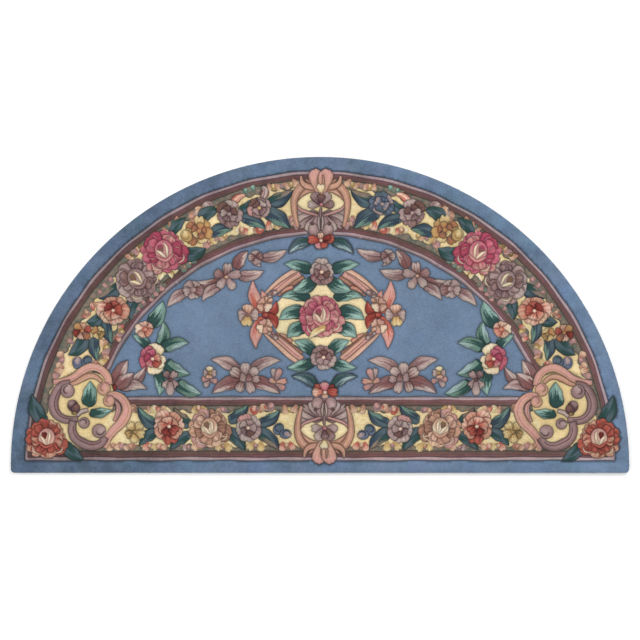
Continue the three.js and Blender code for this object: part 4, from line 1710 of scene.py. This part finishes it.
def tufting(material):
    """The node tree that stands one bent, tapering yarn end after another along a path."""
    tree = bpy.data.node_groups.new("rim_tufting", "GeometryNodeTree")
    tree.interface.new_socket("Path", in_out="INPUT", socket_type="NodeSocketGeometry")
    tree.interface.new_socket("Tufts", in_out="OUTPUT", socket_type="NodeSocketGeometry")
    for name, size in RIM_SIZES.items():
        socket = tree.interface.new_socket(name, in_out="INPUT", socket_type="NodeSocketFloat")
        socket.default_value = size
    net = Nodes(tree)
    given = tree.nodes.new("NodeGroupInput")
    path, spacing, height, radius, bow, lean = [Flow(net, socket) for socket in given.outputs[:6]]

    def three(x, y, z):
        return net.node("ShaderNodeCombineXYZ", {}, 0, {0: x, 1: y, 2: z})

    # the yarn bows inwards below its middle and out again at its cut end
    ends = {
        "Start": three(0.0, bow, 0.0),
        "Middle": three(0.0, bow * -1.4, height * 0.55),
        "End": three(0.0, bow * 1.5, height),
    }
    bend = net.node("GeometryNodeCurveQuadraticBezier", {}, 0, {"Resolution": 3, **ends})
    along = net.node("GeometryNodeSplineParameter", {}, "Factor", {})
    section = net.node("GeometryNodeCurvePrimitiveCircle", {}, 0, {"Resolution": 5, "Radius": radius})
    thinning = 1.0 - along * along * TUFT_TAPER
    body = {"Curve": bend, "Profile Curve": section, "Scale": thinning, "Fill Caps": True}
    yarn = net.node("GeometryNodeCurveToMesh", {}, 0, body)
    line = net.node("GeometryNodeMeshToCurve", {}, 0, {"Mesh": path})
    every = {"Curve": line, "Length": spacing}
    spots = net.node("GeometryNodeCurveToPoints", {"mode": "LENGTH"}, "Points", every)
    way = Flow(net, spots.socket.node.outputs["Tangent"])
    facing = {"axis": "X", "pivot_axis": "Z"}
    upright = net.node("FunctionNodeAlignRotationToVector", facing, 0, {"Vector": way})
    least, most = three(lean * -1, lean * -1, lean * -1), three(lean, lean, lean)
    vectors = {"data_type": "FLOAT_VECTOR"}
    swayed = net.node("FunctionNodeRandomValue", vectors, 0, {0: least, 1: most, "Seed": RIM_SEED})
    turn = net.node("FunctionNodeEulerToRotation", {}, 0, {0: swayed})
    local = {"rotation_space": "LOCAL"}
    leaning = net.node("FunctionNodeRotateRotation", local, 0, {"Rotation": upright, "Rotate By": turn})
    between = {2: SMALLEST_TUFT, 3: LARGEST_TUFT, "Seed": RIM_SEED + 1}
    size = net.node("FunctionNodeRandomValue", {}, 1, between)
    stood = {"Points": spots, "Instance": yarn, "Rotation": leaning, "Scale": size}
    tufts = net.node("GeometryNodeInstanceOnPoints", {}, 0, stood)
    joined = net.node("GeometryNodeRealizeInstances", {}, 0, {"Geometry": tufts})
    finished = net.node("GeometryNodeSetMaterial", {}, 0, {"Geometry": joined, "Material": material})
    net.put(tree.nodes.new("NodeGroupOutput").inputs[0], finished)
    return tree


def rim_wool():
    """The band's blue wool on the cut yarn ends, in random tones and with painted shade towards their foot.
    """
    wool = Finish("rim_wool", 0.94, 0.12)
    here = wool.here()
    _, _, up = here.parts()
    tone = wool.noise(here, 330.0, 2.0) * 0.7 + wool.noise(here, 30.0, 2.0) * 0.5
    # painted shade: the yarn ends are darker towards their foot and paler up at their cut tips
    tone = (tone + up * 18.0 - 0.32).clamped()
    wool.surface(wool.blend(tone, DARK_SHADED_BLUE, PALE_BLUE), wool.noise(here, FIBRES, 2.0), FIBRE_RELIEF)
    return wool.material


# The rim's flat map: it is cut into this many lengths, and each fills a row of the map but for a
# margin at its ends and one above and below it.
RIM_ROWS = 32
ROW_LENGTH = 0.96
ROW_END = 0.02
ROW_HEIGHT = 0.9
ROW_FOOT = 0.05


def unroll(mesh):
    """Lays the tufts out flat, unrolled into rows by the way each face lies from the middle."""
    spots = corner_spots(mesh)
    turns = (np.arctan2(spots[:, 1] - cad_box[0][1] / 2, spots[:, 0]) / (2 * math.pi)) % 1
    sides = np.zeros(len(mesh.polygons), np.int32)
    mesh.polygons.foreach_get("loop_total", sides)
    first = np.repeat(np.cumsum(sides) - sides, sides)
    row = np.floor(turns[first] * RIM_ROWS)
    # a face that crosses from the last row into the first stays whole
    along = ((turns * RIM_ROWS - row + 0.5) % RIM_ROWS - 0.5) * ROW_LENGTH + ROW_END
    height = (spots[:, 2] / cad_box[1][2]).clip(0, 1) * ROW_HEIGHT + ROW_FOOT
    keep_map(mesh, np.stack([along, (row + height) / RIM_ROWS], axis=1))


def rim_tufts():
    """The tufts along the rug's outline as one mesh."""
    ring = on_rug(half_moon(RIM_INSET, RIM_INSET, CORNER_ROUND))
    path = bpy.data.meshes.new("rim_path")
    sides = [(i, (i + 1) % len(ring)) for i in range(len(ring))]
    path.from_pydata([(x, y, CLOTH_TOP) for x, y in ring], sides, [])
    tufts = placed("rim_tufts", path)
    modifier = tufts.modifiers.new("tufting", "NODES")
    modifier.node_group = tufting(rim_wool())
    for socket in modifier.node_group.interface.items_tree:
        if socket.name in RIM_SIZES:
            modifier[socket.identifier] = RIM_SIZES[socket.name]
    bpy.context.view_layer.update()
    shaped = tufts.evaluated_get(bpy.context.evaluated_depsgraph_get())
    mesh = bpy.data.meshes.new_from_object(shaped)
    tufts.modifiers.clear()
    tufts.data = mesh
    unroll(mesh)
    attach(tufts, "root")


rim_tufts()


# The setting: a pale floor that the rug is laid on, two soft lights, and the camera straight above.
# None of it is part of the rug.
FLOOR_REACH = 3.0
FLOOR_TOP = -0.0004
FLOOR_WHITE = (0.97, 0.97, 0.97, 1)
ROOM_WHITE = (1, 1, 1, 1)
ROOM_LIGHT = 0.66
CAMERA_LENS = 100.0
SENSOR_WIDTH = 36.0
FRAME_SQUARES = 640
LOOK_ROW = 320.0

floor_mesh = bpy.data.meshes.new("floor")
corners = [(x * FLOOR_REACH, y * FLOOR_REACH, FLOOR_TOP) for x, y in ((-1, -1), (1, -1), (1, 1), (-1, 1))]
floor_mesh.from_pydata(corners, [], [(0, 1, 2, 3)])
plain = Finish("pale_floor", 0.9)
plain.shader.inputs["Base Color"].default_value = FLOOR_WHITE
floor_mesh.materials.append(plain.material)
placed("floor", floor_mesh)

for name, size, watts, place in (
    # name, width in metres, watts, and its place in metres from the rug's middle
    ("soft_light_above", 1.6, 41, (1.0, 1.3, 2.1)),
    ("soft_light_left", 2.2, 33, (-2.0, -0.4, 2.2)),
):
    light = bpy.data.lights.new(name, "AREA")
    light.shape = "SQUARE"
    light.size = size
    light.energy = watts
    lamp = placed(name, light)
    lamp.location = place
    lamp.rotation_euler = (-Vector(place)).to_track_quat("-Z", "Y").to_euler()

world = bpy.data.worlds.new("soft_room")
world.use_nodes = True
world.node_tree.nodes["Background"].inputs["Color"].default_value = ROOM_WHITE
world.node_tree.nodes["Background"].inputs["Strength"].default_value = ROOM_LIGHT
bpy.context.scene.world = world
bpy.context.scene.view_settings.view_transform = "Standard"

view = bpy.data.cameras.new("camera")
view.lens = CAMERA_LENS
view.sensor_width = SENSOR_WIDTH
camera = placed("camera", view)
distance = FRAME_SQUARES * SQUARE * CAMERA_LENS / SENSOR_WIDTH
camera.location = (0, cad_box[0][1] + (STRAIGHT_ROW - LOOK_ROW) * SQUARE, PILE_TOP + distance)
bpy.context.scene.camera = camera
